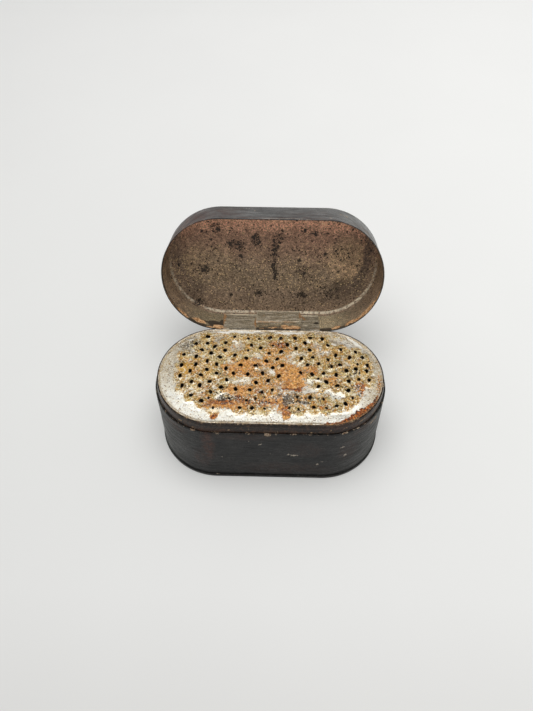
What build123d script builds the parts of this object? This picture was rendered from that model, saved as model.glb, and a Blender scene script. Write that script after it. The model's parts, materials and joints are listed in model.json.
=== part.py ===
from build123d import *
import math
import os

# Pocket nutmeg grater: a small oblong box of japanned tinplate.  A punched
# tinplate grating is set in the mouth of the base and a deep lid is hinged
# along one long side.  Everything is in millimetres.
# Origin: centre of the underside.  +X runs along the box, +Y to the hinge
# side, +Z up.  The lid is modelled shut, then swung to its open stop.

# ---------------------------------------------------------------- driving sizes
BOX_L = 60.0            # length of the base over its wall
BOX_W = 32.0            # width of the base over its wall (ends are half round)
LEDGE_Z = 22.0          # top of the base wall, where the shut lid lands
COLLAR_Z = 25.2         # top of the collar that the shut lid slides over
WALL_T = 0.40           # base wall, tinplate with its lacquer
COLLAR_T = 0.30         # collar strip
COLLAR_DEEP = 6.0       # how far the collar reaches down inside the wall
COLLAR_TOP_IN = 0.75    # inset of the collar's outside at its top
PAN_T = 0.25            # bottom plate
PAN_OUT = 0.20          # how far the turned-up edge stands out from the wall
PAN_H = 1.30            # height of the turned-up edge

PLATE_T = 0.30          # grating plate
PLATE_IN = COLLAR_TOP_IN + COLLAR_T   # inset of the plate's outline
PLATE_FLANGE = 2.2      # depth of the plate's turned-down edge
PLATE_LIP = 0.15        # small bead that stands up round the plate's edge

LID_GAP = 0.04          # inset of the lid's outside from the base wall
LID_T = 0.25            # lid sheet
LID_SEAT = 0.05         # daylight between the shut lid and the ledge
LID_D = 11.5            # outside depth of the lid
LID_EDGE_R = 0.60       # radius of the lid's top edge
LID_FLANGE = 1.5        # turned-down edge of the top inside the lid wall

HINGE_Y = 16.80         # hinge axis
HINGE_Z = 20.70
LID_OPEN = 114.0        # degrees from shut to the open stop
PIN_R = 0.42
KNUCKLE_RI = 0.46
KNUCKLE_RO = 0.78
LEAF_T = 0.30
LEAF_X0, LEAF_X1 = -13.6, 13.4      # hinge leaf, along the box
MID_X0, MID_X1 = -4.4, 8.1          # middle knuckle and the bridge above it
KNUCKLE_GAP = 0.15
LEAF_TOP = 9.6          # how high the lid's leaf climbs inside the lid
BRIDGE_Z0 = 3.6         # the bridge clears the collar when the lid is shut
BRIDGE_Z1 = 10.8
BRIDGE_T = 0.55
SLOT_H = 3.7            # cut-out in the lid's leaf under the bridge
LAP_W = 3.0             # lap seam
LAP_T = 0.25

# Hand-punched holes: x, y, radius.
HOLES = [
    (10.4, 12.1, 0.45), (-9.8, 12.0, 0.40), (-0.3, 11.9, 0.45), (6.4, 11.9, 0.45), (-17.0, 11.9, 0.45), (2.6, 11.8, 0.40),
    (13.6, 11.8, 0.40), (-6.1, 11.6, 0.30), (-3.2, 11.5, 0.30), (9.0, 10.3, 0.45), (-12.1, 9.9, 0.45), (15.1, 9.6, 0.45),
    (-16.9, 9.6, 0.40), (4.3, 9.5, 0.45), (-19.9, 9.4, 0.40), (0.5, 9.3, 0.30), (-5.2, 9.1, 0.40), (-14.9, 8.5, 0.45),
    (6.6, 8.3, 0.45), (18.4, 8.3, 0.40), (-2.7, 8.2, 0.40), (10.2, 7.9, 0.45), (22.3, 7.6, 0.40), (-6.0, 7.4, 0.30),
    (-18.2, 7.2, 0.45), (-12.1, 7.2, 0.45), (2.7, 7.1, 0.45), (-0.5, 6.5, 0.40), (-15.7, 6.2, 0.45), (17.0, 6.2, 0.45),
    (24.0, 5.8, 0.45), (-22.8, 5.7, 0.40), (-9.4, 5.7, 0.45), (20.6, 5.6, 0.45), (11.0, 5.4, 0.40), (8.0, 5.0, 0.45),
    (-19.5, 5.0, 0.45), (-13.3, 4.9, 0.45), (14.9, 4.7, 0.40), (-6.4, 4.7, 0.45), (1.7, 4.6, 0.40), (-1.1, 3.8, 0.45),
    (-16.5, 3.6, 0.40), (22.6, 3.5, 0.30), (12.5, 3.4, 0.40), (25.1, 3.3, 0.45), (18.0, 3.1, 0.45), (9.6, 2.9, 0.45),
    (-14.0, 2.6, 0.45), (15.8, 2.5, 0.40), (3.1, 2.5, 0.45), (-19.4, 2.4, 0.45), (-7.8, 2.4, 0.45), (-3.9, 2.3, 0.45),
    (-23.1, 2.2, 0.45), (22.0, 1.9, 0.45), (0.6, 1.8, 0.45), (24.8, 1.5, 0.45), (-11.5, 1.4, 0.45), (19.6, 1.2, 0.45),
    (-16.4, 0.9, 0.45), (7.8, 0.3, 0.40), (13.7, 0.3, 0.45), (-20.7, 0.3, 0.45), (-2.0, -0.1, 0.45), (10.7, -0.1, 0.45),
    (16.9, -0.1, 0.45), (-9.5, -0.2, 0.40), (-13.8, -0.3, 0.45), (-5.8, -0.4, 0.45), (2.2, -0.9, 0.45), (-17.8, -1.0, 0.45),
    (-23.1, -1.2, 0.45), (22.6, -1.4, 0.40), (12.3, -1.4, 0.30), (25.3, -1.5, 0.45), (20.0, -2.0, 0.45), (-0.5, -2.3, 0.45),
    (-11.1, -2.3, 0.45), (14.3, -2.5, 0.45), (-15.4, -2.9, 0.45), (-3.6, -3.0, 0.45), (-20.0, -3.1, 0.40), (17.1, -3.6, 0.45),
    (12.3, -3.9, 0.45), (-17.8, -4.2, 0.45), (-22.3, -4.3, 0.45), (-12.4, -4.7, 0.45), (19.8, -4.9, 0.45), (-8.7, -5.1, 0.45),
    (0.6, -5.2, 0.40), (-5.1, -5.3, 0.40), (-2.0, -6.0, 0.30), (-14.9, -6.2, 0.40), (20.8, -7.1, 0.30), (10.1, -7.2, 0.45),
    (6.9, -7.2, 0.30), (-19.8, -7.2, 0.45), (13.5, -7.7, 0.30), (-3.5, -7.9, 0.30), (-10.2, -7.9, 0.30), (-15.3, -7.9, 0.30),
    (-5.8, -8.4, 0.30), (18.9, -8.8, 0.45), (-17.0, -8.9, 0.45), (16.7, -9.5, 0.40), (11.0, -10.1, 0.40), (14.1, -10.2, 0.30),
    (4.9, -10.4, 0.30), (-7.4, -10.6, 0.40), (-4.3, -10.7, 0.40), (-1.2, -10.7, 0.30), (7.2, -10.7, 0.30), (-14.0, -10.8, 0.30),
]


# ---------------------------------------------------------------- helpers
def oblong(inset=0.0):
    """Half-round-ended outline, drawn in from the base wall's outside."""
    return SlotOverall(BOX_L - 2 * inset, BOX_W - 2 * inset)


def prism(inset, z0, z1):
    return Pos(0, 0, z0) * extrude(oblong(inset), z1 - z0)


def tube(inset, thick, z0, z1):
    return prism(inset, z0, z1) - prism(inset + thick, z0 - 1, z1 + 1)


def tapered(in0, z0, in1, z1):
    """Oblong prism whose inset changes from in0 to in1 going up."""
    a = math.degrees(math.atan((in1 - in0) / (z1 - z0)))
    return Pos(0, 0, z0) * extrude(oblong(in0), z1 - z0, taper=a)


def block(x0, x1, y0, y1, z0, z1):
    return Pos((x0 + x1) / 2, (y0 + y1) / 2, (z0 + z1) / 2) * Box(x1 - x0, y1 - y0, z1 - z0)


def rod(x0, x1, r):
    return Pos((x0 + x1) / 2, HINGE_Y, HINGE_Z) * Rot(0, 90, 0) * Cylinder(r, x1 - x0)


def lap(inset, z0, z1, cx, a0, a1):
    """Second layer of sheet over the seam, a few millimetres of the end bend."""
    r = BOX_W / 2 - inset
    p = [(cx, 0)] + [(cx + 2 * r * math.cos(math.radians(a)), 2 * r * math.sin(math.radians(a)))
                     for a in (a0, a1)]
    wedge = Pos(0, 0, z0) * extrude(make_face(Polyline(*p, close=True)), z1 - z0)
    ring = Pos(cx, 0, (z0 + z1) / 2) * (Cylinder(r + LAP_T, z1 - z0) - Cylinder(r, z1 - z0 + 2))
    return ring & wedge


def open_lid(part):
    return part.rotate(Axis((0, HINGE_Y, HINGE_Z), (1, 0, 0)), -LID_OPEN)


NODES = {}
END_X = (BOX_L - BOX_W) / 2
notch = block(LEAF_X0 - 0.3, LEAF_X1 + 0.3, 10.0, BOX_W / 2 + 1.0, LEDGE_Z - 0.4, COLLAR_Z + 1)

# ---------------------------------------------------------------- base
# Bottom: a shallow pan whose edge is turned up round the foot of the wall.
pan = prism(-PAN_OUT, 0, PAN_H)
pan = fillet(pan.edges().group_by(Axis.Z)[0], 0.35)
pan = pan - prism(0.0, PAN_T, PAN_H + 1)
NODES["base_bottom"] = pan

# Wall: one strip bent round, lapped at the back of the left end.
seam = math.degrees(LAP_W / (BOX_W / 2))
wall = tube(0.0, WALL_T, PAN_T, LEDGE_Z)
wall = wall + lap(0.0, PAN_H + 0.1, LEDGE_Z - 0.3, -END_X, 118, 118 + seam)
wall = wall - notch
NODES["base_wall"] = wall

# Collar: strip soldered inside the wall, drawn in a little above the ledge so
# that the lid's front edge swings past it, and cut away across the hinge.
c0, c1 = WALL_T, COLLAR_TOP_IN
collar = tube(c0, COLLAR_T, LEDGE_Z - COLLAR_DEEP, LEDGE_Z)
upper = tapered(c0, LEDGE_Z, c1, COLLAR_Z) - tapered(c0 + COLLAR_T, LEDGE_Z, c1 + COLLAR_T, COLLAR_Z)
NODES["base_collar"] = collar + upper - notch

# Grating: flat sheet with a turned-down edge and a small bead, punched by hand.
zt = COLLAR_Z
plate = prism(PLATE_IN, zt - PLATE_T, zt) + tube(PLATE_IN, PLATE_T, zt - PLATE_FLANGE, zt)
plate = plate + tube(PLATE_IN, 0.35, zt - 0.1, zt + PLATE_LIP)
cuts = Sketch() + [Pos(x, y) * Circle(r) for x, y, r in HOLES]
plate = plate - Pos(0, 0, zt - 1.0) * extrude(cuts, 2.0)
NODES["grater_plate"] = plate

# ---------------------------------------------------------------- hinge
NODES["hinge_pin"] = rod(LEAF_X0 - 0.25, LEAF_X1 + 0.25, PIN_R)

# Base leaf: soldered to the back of the wall, one knuckle in the middle.
yb = BOX_W / 2
bleaf = block(LEAF_X0 + 0.4, LEAF_X1 - 0.4, yb, yb + LEAF_T, 12.5, HINGE_Z - KNUCKLE_RO - 0.25)
bleaf = bleaf + block(MID_X0 + KNUCKLE_GAP, MID_X1 - KNUCKLE_GAP, yb, yb + LEAF_T + 0.02, 13.0, HINGE_Z)
bleaf = bleaf + rod(MID_X0 + KNUCKLE_GAP, MID_X1 - KNUCKLE_GAP, KNUCKLE_RO)
bleaf = bleaf - rod(LEAF_X0 - 2, LEAF_X1 + 2, KNUCKLE_RI)
NODES["base_hinge_leaf"] = bleaf

# Lid leaf: two knuckles, an arm up to the rim, under the rim and up the
# inside of the lid's back wall, cut out in the middle.
rim = LEDGE_Z + LID_SEAT
yi = yb - LID_GAP - LID_T
lleaf = None
for x0, x1 in ((LEAF_X0, MID_X0), (MID_X1, LEAF_X1)):
    arm = rod(x0, x1, KNUCKLE_RO)
    arm = arm + block(x0, x1, yb + 0.02, yb + 0.02 + LEAF_T, HINGE_Z, rim)
    arm = arm + block(x0, x1, yi - LEAF_T, yb + 0.02 + LEAF_T, rim - LEAF_T, rim)
    lleaf = arm if lleaf is None else lleaf + arm
inner = block(LEAF_X0, LEAF_X1, yi - LEAF_T, yi, rim - LEAF_T, rim + LEAF_TOP)
inner = inner - block(MID_X0, MID_X1, yi - 1, yi + 1, rim - 1, rim + SLOT_H)
lleaf = lleaf + inner - rod(LEAF_X0 - 2, LEAF_X1 + 2, KNUCKLE_RI)

# Bridge: a stiffening plate over the cut-out.
yl = yi - LEAF_T
bridge = block(MID_X0 - 0.1, MID_X1 + 0.1, yl - BRIDGE_T, yl, rim + BRIDGE_Z0, rim + BRIDGE_Z1)
bridge = fillet(bridge.edges().filter_by(Axis.Y), 0.6)
bridge = fillet(bridge.faces().sort_by(Axis.Y)[0].edges(), 0.15)

# ---------------------------------------------------------------- lid
top = rim + LID_D
lwall = tube(LID_GAP, LID_T, rim, top - 0.45)
lwall = lwall + lap(LID_GAP, rim + 0.4, top - 0.9, END_X, 52 - seam, 52)

# Top: a shallow tray pushed into the wall, its edge turned down inside.
tray = prism(LID_GAP, top - 0.45, top)
tray = fillet(tray.edges().group_by(Axis.Z)[-1], 0.4)
tray = tray + prism(LID_GAP + LID_T, top - LID_FLANGE - LID_T, top - 0.3)
hollow = prism(LID_GAP + 2 * LID_T, top - LID_FLANGE - 1, top - 0.3)
hollow = fillet(hollow.edges().group_by(Axis.Z)[-1], 0.3)
tray = tray - hollow

NODES["lid_wall"] = open_lid(lwall)
NODES["lid_top"] = open_lid(tray)
NODES["lid_hinge_leaf"] = open_lid(lleaf)
NODES["lid_hinge_bridge"] = open_lid(bridge)

# ---------------------------------------------------------------- export
os.makedirs("parts", exist_ok=True)
for name, part in NODES.items():
    part.label = name
    export_step(part, os.path.join("parts", name + ".step"))
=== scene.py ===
import bpy, json, math
import numpy as np
from mathutils import Vector, Matrix
from mathutils.geometry import delaunay_2d_cdt


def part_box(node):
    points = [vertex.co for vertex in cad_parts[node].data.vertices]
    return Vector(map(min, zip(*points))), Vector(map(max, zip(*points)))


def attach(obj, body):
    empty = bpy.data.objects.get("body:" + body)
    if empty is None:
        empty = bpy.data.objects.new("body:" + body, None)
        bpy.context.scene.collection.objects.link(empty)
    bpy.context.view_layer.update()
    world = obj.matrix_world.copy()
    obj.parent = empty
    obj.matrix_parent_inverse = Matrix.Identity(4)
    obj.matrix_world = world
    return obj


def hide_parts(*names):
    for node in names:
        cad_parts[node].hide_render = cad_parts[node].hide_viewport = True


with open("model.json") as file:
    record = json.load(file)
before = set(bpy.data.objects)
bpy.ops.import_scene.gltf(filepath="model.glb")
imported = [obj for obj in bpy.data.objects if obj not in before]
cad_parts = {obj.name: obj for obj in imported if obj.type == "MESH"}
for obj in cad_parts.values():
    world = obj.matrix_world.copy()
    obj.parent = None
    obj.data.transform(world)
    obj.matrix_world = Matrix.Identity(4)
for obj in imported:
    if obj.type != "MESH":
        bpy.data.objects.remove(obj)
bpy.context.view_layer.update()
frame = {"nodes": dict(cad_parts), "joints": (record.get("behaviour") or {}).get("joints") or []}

# Sizes in millimetres, read off the frame where it gives them.
MM = 0.001
wl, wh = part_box("base_wall")
cl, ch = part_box("base_collar")
pl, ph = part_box("grater_plate")
bl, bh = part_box("base_bottom")
BOX_W = 2 * (-wl.y) / MM
R0 = BOX_W / 2
LEDGE = wh.z / MM
COLLAR = ch.z / MM
PAN_OUT = -bl.y / MM - R0
E0 = bh.x / MM - R0 - PAN_OUT
BOX_L = 2 * (E0 + R0)
PAN_H = bh.z / MM
PLATE_IN = BOX_L / 2 - ph.x / MM
PLATE_Z = ph.z / MM - 0.15
joint = frame["joints"][0]
HY, HZ = joint["pos_m"][1] / MM, joint["pos_m"][2] / MM
OPEN = math.radians(joint["range_deg"][1])
llo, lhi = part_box("lid_hinge_leaf")
LEAF_X0, LEAF_X1 = llo.x / MM, lhi.x / MM
mlo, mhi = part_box("lid_hinge_bridge")
MID_X0, MID_X1 = mlo.x / MM, mhi.x / MM
RIM = LEDGE + 0.05
LID_D = 11.5
LID_IN, LID_T = 0.04, 0.25
LTOP = RIM + LID_D

HOLES = [
    (10.4, 12.1, 0.45), (-9.8, 12.0, 0.40), (-0.3, 11.9, 0.45), (6.4, 11.9, 0.45), (-17.0, 11.9, 0.45), (2.6, 11.8, 0.40),
    (13.6, 11.8, 0.40), (-6.1, 11.6, 0.30), (-3.2, 11.5, 0.30), (9.0, 10.3, 0.45), (-12.1, 9.9, 0.45), (15.1, 9.6, 0.45),
    (-16.9, 9.6, 0.40), (4.3, 9.5, 0.45), (-19.9, 9.4, 0.40), (0.5, 9.3, 0.30), (-5.2, 9.1, 0.40), (-14.9, 8.5, 0.45),
    (6.6, 8.3, 0.45), (18.4, 8.3, 0.40), (-2.7, 8.2, 0.40), (10.2, 7.9, 0.45), (22.3, 7.6, 0.40), (-6.0, 7.4, 0.30),
    (-18.2, 7.2, 0.45), (-12.1, 7.2, 0.45), (2.7, 7.1, 0.45), (-0.5, 6.5, 0.40), (-15.7, 6.2, 0.45), (17.0, 6.2, 0.45),
    (24.0, 5.8, 0.45), (-22.8, 5.7, 0.40), (-9.4, 5.7, 0.45), (20.6, 5.6, 0.45), (11.0, 5.4, 0.40), (8.0, 5.0, 0.45),
    (-19.5, 5.0, 0.45), (-13.3, 4.9, 0.45), (14.9, 4.7, 0.40), (-6.4, 4.7, 0.45), (1.7, 4.6, 0.40), (-1.1, 3.8, 0.45),
    (-16.5, 3.6, 0.40), (22.6, 3.5, 0.30), (12.5, 3.4, 0.40), (25.1, 3.3, 0.45), (18.0, 3.1, 0.45), (9.6, 2.9, 0.45),
    (-14.0, 2.6, 0.45), (15.8, 2.5, 0.40), (3.1, 2.5, 0.45), (-19.4, 2.4, 0.45), (-7.8, 2.4, 0.45), (-3.9, 2.3, 0.45),
    (-23.1, 2.2, 0.45), (22.0, 1.9, 0.45), (0.6, 1.8, 0.45), (24.8, 1.5, 0.45), (-11.5, 1.4, 0.45), (19.6, 1.2, 0.45),
    (-16.4, 0.9, 0.45), (7.8, 0.3, 0.40), (13.7, 0.3, 0.45), (-20.7, 0.3, 0.45), (-2.0, -0.1, 0.45), (10.7, -0.1, 0.45),
    (16.9, -0.1, 0.45), (-9.5, -0.2, 0.40), (-13.8, -0.3, 0.45), (-5.8, -0.4, 0.45), (2.2, -0.9, 0.45), (-17.8, -1.0, 0.45),
    (-23.1, -1.2, 0.45), (22.6, -1.4, 0.40), (12.3, -1.4, 0.30), (25.3, -1.5, 0.45), (20.0, -2.0, 0.45), (-0.5, -2.3, 0.45),
    (-11.1, -2.3, 0.45), (14.3, -2.5, 0.45), (-15.4, -2.9, 0.45), (-3.6, -3.0, 0.45), (-20.0, -3.1, 0.40), (17.1, -3.6, 0.45),
    (12.3, -3.9, 0.45), (-17.8, -4.2, 0.45), (-22.3, -4.3, 0.45), (-12.4, -4.7, 0.45), (19.8, -4.9, 0.45), (-8.7, -5.1, 0.45),
    (0.6, -5.2, 0.40), (-5.1, -5.3, 0.40), (-2.0, -6.0, 0.30), (-14.9, -6.2, 0.40), (20.8, -7.1, 0.30), (10.1, -7.2, 0.45),
    (6.9, -7.2, 0.30), (-19.8, -7.2, 0.45), (13.5, -7.7, 0.30), (-3.5, -7.9, 0.30), (-10.2, -7.9, 0.30), (-15.3, -7.9, 0.30),
    (-5.8, -8.4, 0.30), (18.9, -8.8, 0.45), (-17.0, -8.9, 0.45), (16.7, -9.5, 0.40), (11.0, -10.1, 0.40), (14.1, -10.2, 0.30),
    (4.9, -10.4, 0.30), (-7.4, -10.6, 0.40), (-4.3, -10.7, 0.40), (-1.2, -10.7, 0.30), (7.2, -10.7, 0.30), (-14.0, -10.8, 0.30),
]


# ------------------------------------------------------------------ noise
def _h(ix, iy, iz, seed):
    n = (ix.astype(np.int64) * 374761393 + iy.astype(np.int64) * 668265263
         + iz.astype(np.int64) * 1274126177 + seed * 974634777) & 0xFFFFFFFF
    n = ((n ^ (n >> 13)) * 1103515245) & 0xFFFFFFFF
    n = ((n ^ (n >> 16)) * 2246822519) & 0xFFFFFFFF
    return ((n ^ (n >> 15)) & 0xFFFFFF) / float(0xFFFFFF)


def vnoise(P, scale, seed=0):
    """Smooth value noise in -1..1. scale is the cell size in mm."""
    Q = np.asarray(P, float) / scale
    i = np.floor(Q).astype(np.int64)
    f = Q - i
    f = f * f * f * (f * (f * 6 - 15) + 10)
    out = 0
    for dx in (0, 1):
        for dy in (0, 1):
            for dz in (0, 1):
                w = (f[:, 0] if dx else 1 - f[:, 0]) * (f[:, 1] if dy else 1 - f[:, 1]) * (f[:, 2] if dz else 1 - f[:, 2])
                out = out + w * _h(i[:, 0] + dx, i[:, 1] + dy, i[:, 2] + dz, seed)
    return out * 2 - 1


def fbm(P, scale, seed=0, octaves=3, gain=0.5):
    a, s, out, tot = 1.0, scale, 0, 0
    for o in range(octaves):
        out = out + a * vnoise(P, s, seed + 17 * o)
        tot += a
        a *= gain
        s *= 0.5
    return out / tot


def rnd(n, seed):
    i = np.arange(n)
    return _h(i, i * 0 + seed, i * 0, seed + 5)


def sstep(a, b, x):
    t = np.clip((np.asarray(x, float) - a) / (b - a), 0, 1)
    return t * t * (3 - 2 * t)


# ------------------------------------------------------------------ outline
def outline(step=0.4, extra=()):
    """Arc length s (0 at the middle of the front, growing towards +X), arc
    centre x and outward direction for every column round the oblong."""
    arc = math.pi * R0
    per = 4 * E0 + 2 * arc
    n = int(round(per / step / 4)) * 4
    s = np.arange(n) * per / n
    if len(extra):
        s = np.unique(np.round(np.concatenate([s, np.mod(np.array(extra), per)]), 5))
        keep = np.ones(len(s), bool)
        ex = np.mod(np.array(extra), per)
        for k in range(len(s)):
            if not np.any(np.abs(s[k] - ex) < 1e-4):
                d = np.min(np.abs(s[k] - ex))
                if d < 0.12:
                    keep[k] = False
        s = s[keep]
    cx, nx, ny = np.zeros(len(s)), np.zeros(len(s)), np.zeros(len(s))
    for k, v in enumerate(s):
        if v <= E0:
            cx[k], nx[k], ny[k] = v, 0, -1
        elif v <= E0 + arc:
            a = (v - E0) / R0
            cx[k], nx[k], ny[k] = E0, math.sin(a), -math.cos(a)
        elif v <= 3 * E0 + arc:
            cx[k], nx[k], ny[k] = E0 - (v - E0 - arc), 0, 1
        elif v <= 3 * E0 + 2 * arc:
            a = (v - 3 * E0 - arc) / R0
            cx[k], nx[k], ny[k] = -E0, -math.sin(a), math.cos(a)
        else:
            cx[k], nx[k], ny[k] = v - per, 0, -1
    return dict(s=s, cx=cx, nx=nx, ny=ny, per=per, n=len(s), ss=np.where(s > per / 2, s - per, s))


def ring(o, inset, z):
    """One loop of points; inset and z may be arrays over the columns."""
    r = R0 - inset
    return np.stack([o["cx"] + r * o["nx"], r * o["ny"], np.zeros(o["n"]) + z], -1)


def grid_faces(rows, n, closed=True, row_closed=False, flip=False, base=0):
    f = []
    for r in range(rows if row_closed else rows - 1):
        r2 = (r + 1) % rows
        for j in range(n if closed else n - 1):
            j2 = (j + 1) % n
            q = (base + r * n + j, base + r * n + j2, base + r2 * n + j2, base + r2 * n + j)
            f.append(q[::-1] if flip else q)
    return f


def open_lid(P):
    u, w = P[:, 1] - HY, P[:, 2] - HZ
    c, s = math.cos(OPEN), math.sin(OPEN)
    return np.stack([P[:, 0], HY + u * c + w * s, HZ - u * s + w * c], -1)


def make(name, P, faces, attrs=None, lid=False, mats=(), face_mat=None, sharp=38):
    P = np.asarray(P, float)
    if lid:
        P = open_lid(P)
    me = bpy.data.meshes.new(name)
    me.from_pydata((P * MM).tolist(), [], [list(map(int, f)) for f in faces])
    me.validate()
    ob = bpy.data.objects.new(name, me)
    bpy.context.scene.collection.objects.link(ob)
    for k, v in (attrs or {}).items():
        a = me.attributes.new(k, "FLOAT", "POINT")
        a.data.foreach_set("value", np.ascontiguousarray(v, np.float32))
    for m in mats:
        me.materials.append(m)
    if face_mat is not None:
        me.polygons.foreach_set("material_index", np.asarray(face_mat, np.int32))
    me.polygons.foreach_set("use_smooth", [True] * len(me.polygons))
    if sharp:
        me.set_sharp_from_angle(angle=math.radians(sharp))
    me.update()
    return ob


def blobs(U, V, items, warp=None):
    """Soft elliptical spots: (u, v, ru, rv, strength[, turn])."""
    out = np.zeros(len(U))
    for it in items:
        u, v, ru, rv, a = it[:5]
        t = math.radians(it[5]) if len(it) > 5 else 0
        du, dv = U - u, V - v
        if warp is not None:
            du, dv = du + warp[0], dv + warp[1]
        x = (du * math.cos(t) + dv * math.sin(t)) / ru
        y = (-du * math.sin(t) + dv * math.cos(t)) / rv
        out = np.maximum(out, a * np.clip(1.25 - (x * x + y * y) * 0.85, 0, 1))
    return out


# ------------------------------------------------------------------ materials
class Mat:
    def __init__(self, name):
        self.m = bpy.data.materials.new(name)
        self.m.use_nodes = True
        self.nt = self.m.node_tree
        self.nt.nodes.clear()
        self.out = self.nt.nodes.new("ShaderNodeOutputMaterial")
        self.b = self.nt.nodes.new("ShaderNodeBsdfPrincipled")
        self.nt.links.new(self.b.outputs[0], self.out.inputs[0])
        tc = self.nt.nodes.new("ShaderNodeTexCoord")
        vm = self.nt.nodes.new("ShaderNodeVectorMath")
        vm.operation = "SCALE"
        vm.inputs["Scale"].default_value = 1000.0
        self.nt.links.new(tc.outputs["Object"], vm.inputs[0])
        self.co = vm.outputs[0]

    def put(self, node, sock, v):
        i = node.inputs[sock]
        if isinstance(v, bpy.types.NodeSocket):
            self.nt.links.new(v, i)
        elif v is not None:
            i.default_value = v

    def scaled(self, s):
        n = self.nt.nodes.new("ShaderNodeVectorMath")
        n.operation = "MULTIPLY"
        self.put(n, 0, self.co)
        n.inputs[1].default_value = s
        return n.outputs[0]

    def noise(self, size, detail=3.0, rough=0.55, stretch=None, dist=0.0, w=None):
        n = self.nt.nodes.new("ShaderNodeTexNoise")
        self.put(n, "Vector", self.scaled(stretch) if stretch else self.co)
        n.inputs["Scale"].default_value = 1.0 / size
        n.inputs["Detail"].default_value = detail
        n.inputs["Roughness"].default_value = rough
        n.inputs["Distortion"].default_value = dist
        return n.outputs["Fac"]

    def cells(self, size, rand=1.0, out="Distance"):
        n = self.nt.nodes.new("ShaderNodeTexVoronoi")
        self.put(n, "Vector", self.co)
        n.inputs["Scale"].default_value = 1.0 / size
        n.inputs["Randomness"].default_value = rand
        return n.outputs[out]

    def rcell(self, size):
        n = self.nt.nodes.new("ShaderNodeTexVoronoi")
        self.put(n, "Vector", self.co)
        n.inputs["Scale"].default_value = 1.0 / size
        q = self.nt.nodes.new("ShaderNodeSeparateColor")
        self.nt.links.new(n.outputs["Color"], q.inputs[0])
        return q.outputs[0]

    def attr(self, name):
        n = self.nt.nodes.new("ShaderNodeAttribute")
        n.attribute_name = name
        return n.outputs["Fac"]

    def math(self, op, a, b=0.0, c=None, clamp=False):
        n = self.nt.nodes.new("ShaderNodeMath")
        n.operation = op
        n.use_clamp = clamp
        self.put(n, 0, a)
        self.put(n, 1, b)
        if c is not None:
            self.put(n, 2, c)
        return n.outputs[0]

    def step(self, v, a, b, lo=0.0, hi=1.0):
        n = self.nt.nodes.new("ShaderNodeMapRange")
        n.interpolation_type = "SMOOTHSTEP"
        self.put(n, "Value", v)
        n.inputs["From Min"].default_value = a
        n.inputs["From Max"].default_value = b
        n.inputs["To Min"].default_value = lo
        n.inputs["To Max"].default_value = hi
        return n.outputs[0]

    def mix(self, f, a, b):
        n = self.nt.nodes.new("ShaderNodeMix")
        n.data_type = "RGBA"
        self.put(n, 0, f)
        for k, v in ((6, a), (7, b)):
            if isinstance(v, bpy.types.NodeSocket):
                self.nt.links.new(v, n.inputs[k])
            else:
                n.inputs[k].default_value = tuple(v) + (1.0,)
        return n.outputs[2]

    def gain(self, c, f, a, b, lo, hi):
        n = self.nt.nodes.new("ShaderNodeVectorMath")
        n.operation = "SCALE"
        self.put(n, 0, c)
        self.put(n, "Scale", self.step(f, a, b, lo, hi))
        return n.outputs[0]

    def mixf(self, f, a, b):
        n = self.nt.nodes.new("ShaderNodeMix")
        n.data_type = "FLOAT"
        self.put(n, 0, f)
        self.put(n, 2, a)
        self.put(n, 3, b)
        return n.outputs[0]

    def ramp(self, f, stops):
        n = self.nt.nodes.new("ShaderNodeValToRGB")
        self.put(n, 0, f)
        e = n.color_ramp.elements
        while len(e) < len(stops):
            e.new(0.5)
        for k, (p, c) in enumerate(stops):
            e[k].position = p
            e[k].color = tuple(c) + (1.0,)
        return n.outputs[0]

    def bump(self, h, dist, strength=1.0, normal=None):
        n = self.nt.nodes.new("ShaderNodeBump")
        n.inputs["Strength"].default_value = strength
        n.inputs["Distance"].default_value = dist * MM
        self.put(n, "Height", h)
        if normal is not None:
            self.put(n, "Normal", normal)
        return n.outputs[0]

    def done(self, color, rough, metal=0.0, normal=None, spec=0.5, coat=0.0, coat_rough=0.2):
        if isinstance(color, bpy.types.NodeSocket):
            self.put(self.b, "Base Color", color)
        else:
            self.b.inputs["Base Color"].default_value = tuple(color) + (1,)
        self.put(self.b, "Roughness", rough)
        self.put(self.b, "Metallic", metal)
        self.b.inputs["Specular IOR Level"].default_value = spec
        self.b.inputs["Coat Weight"].default_value = coat
        self.b.inputs["Coat Roughness"].default_value = coat_rough
        if normal is not None:
            self.put(self.b, "Normal", normal)
        return self.m


def srgb(r, g, b):
    return tuple(((c / 255) / 12.92 if c / 255 <= 0.04045 else ((c / 255 + 0.055) / 1.055) ** 2.4) for c in (r, g, b))


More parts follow.
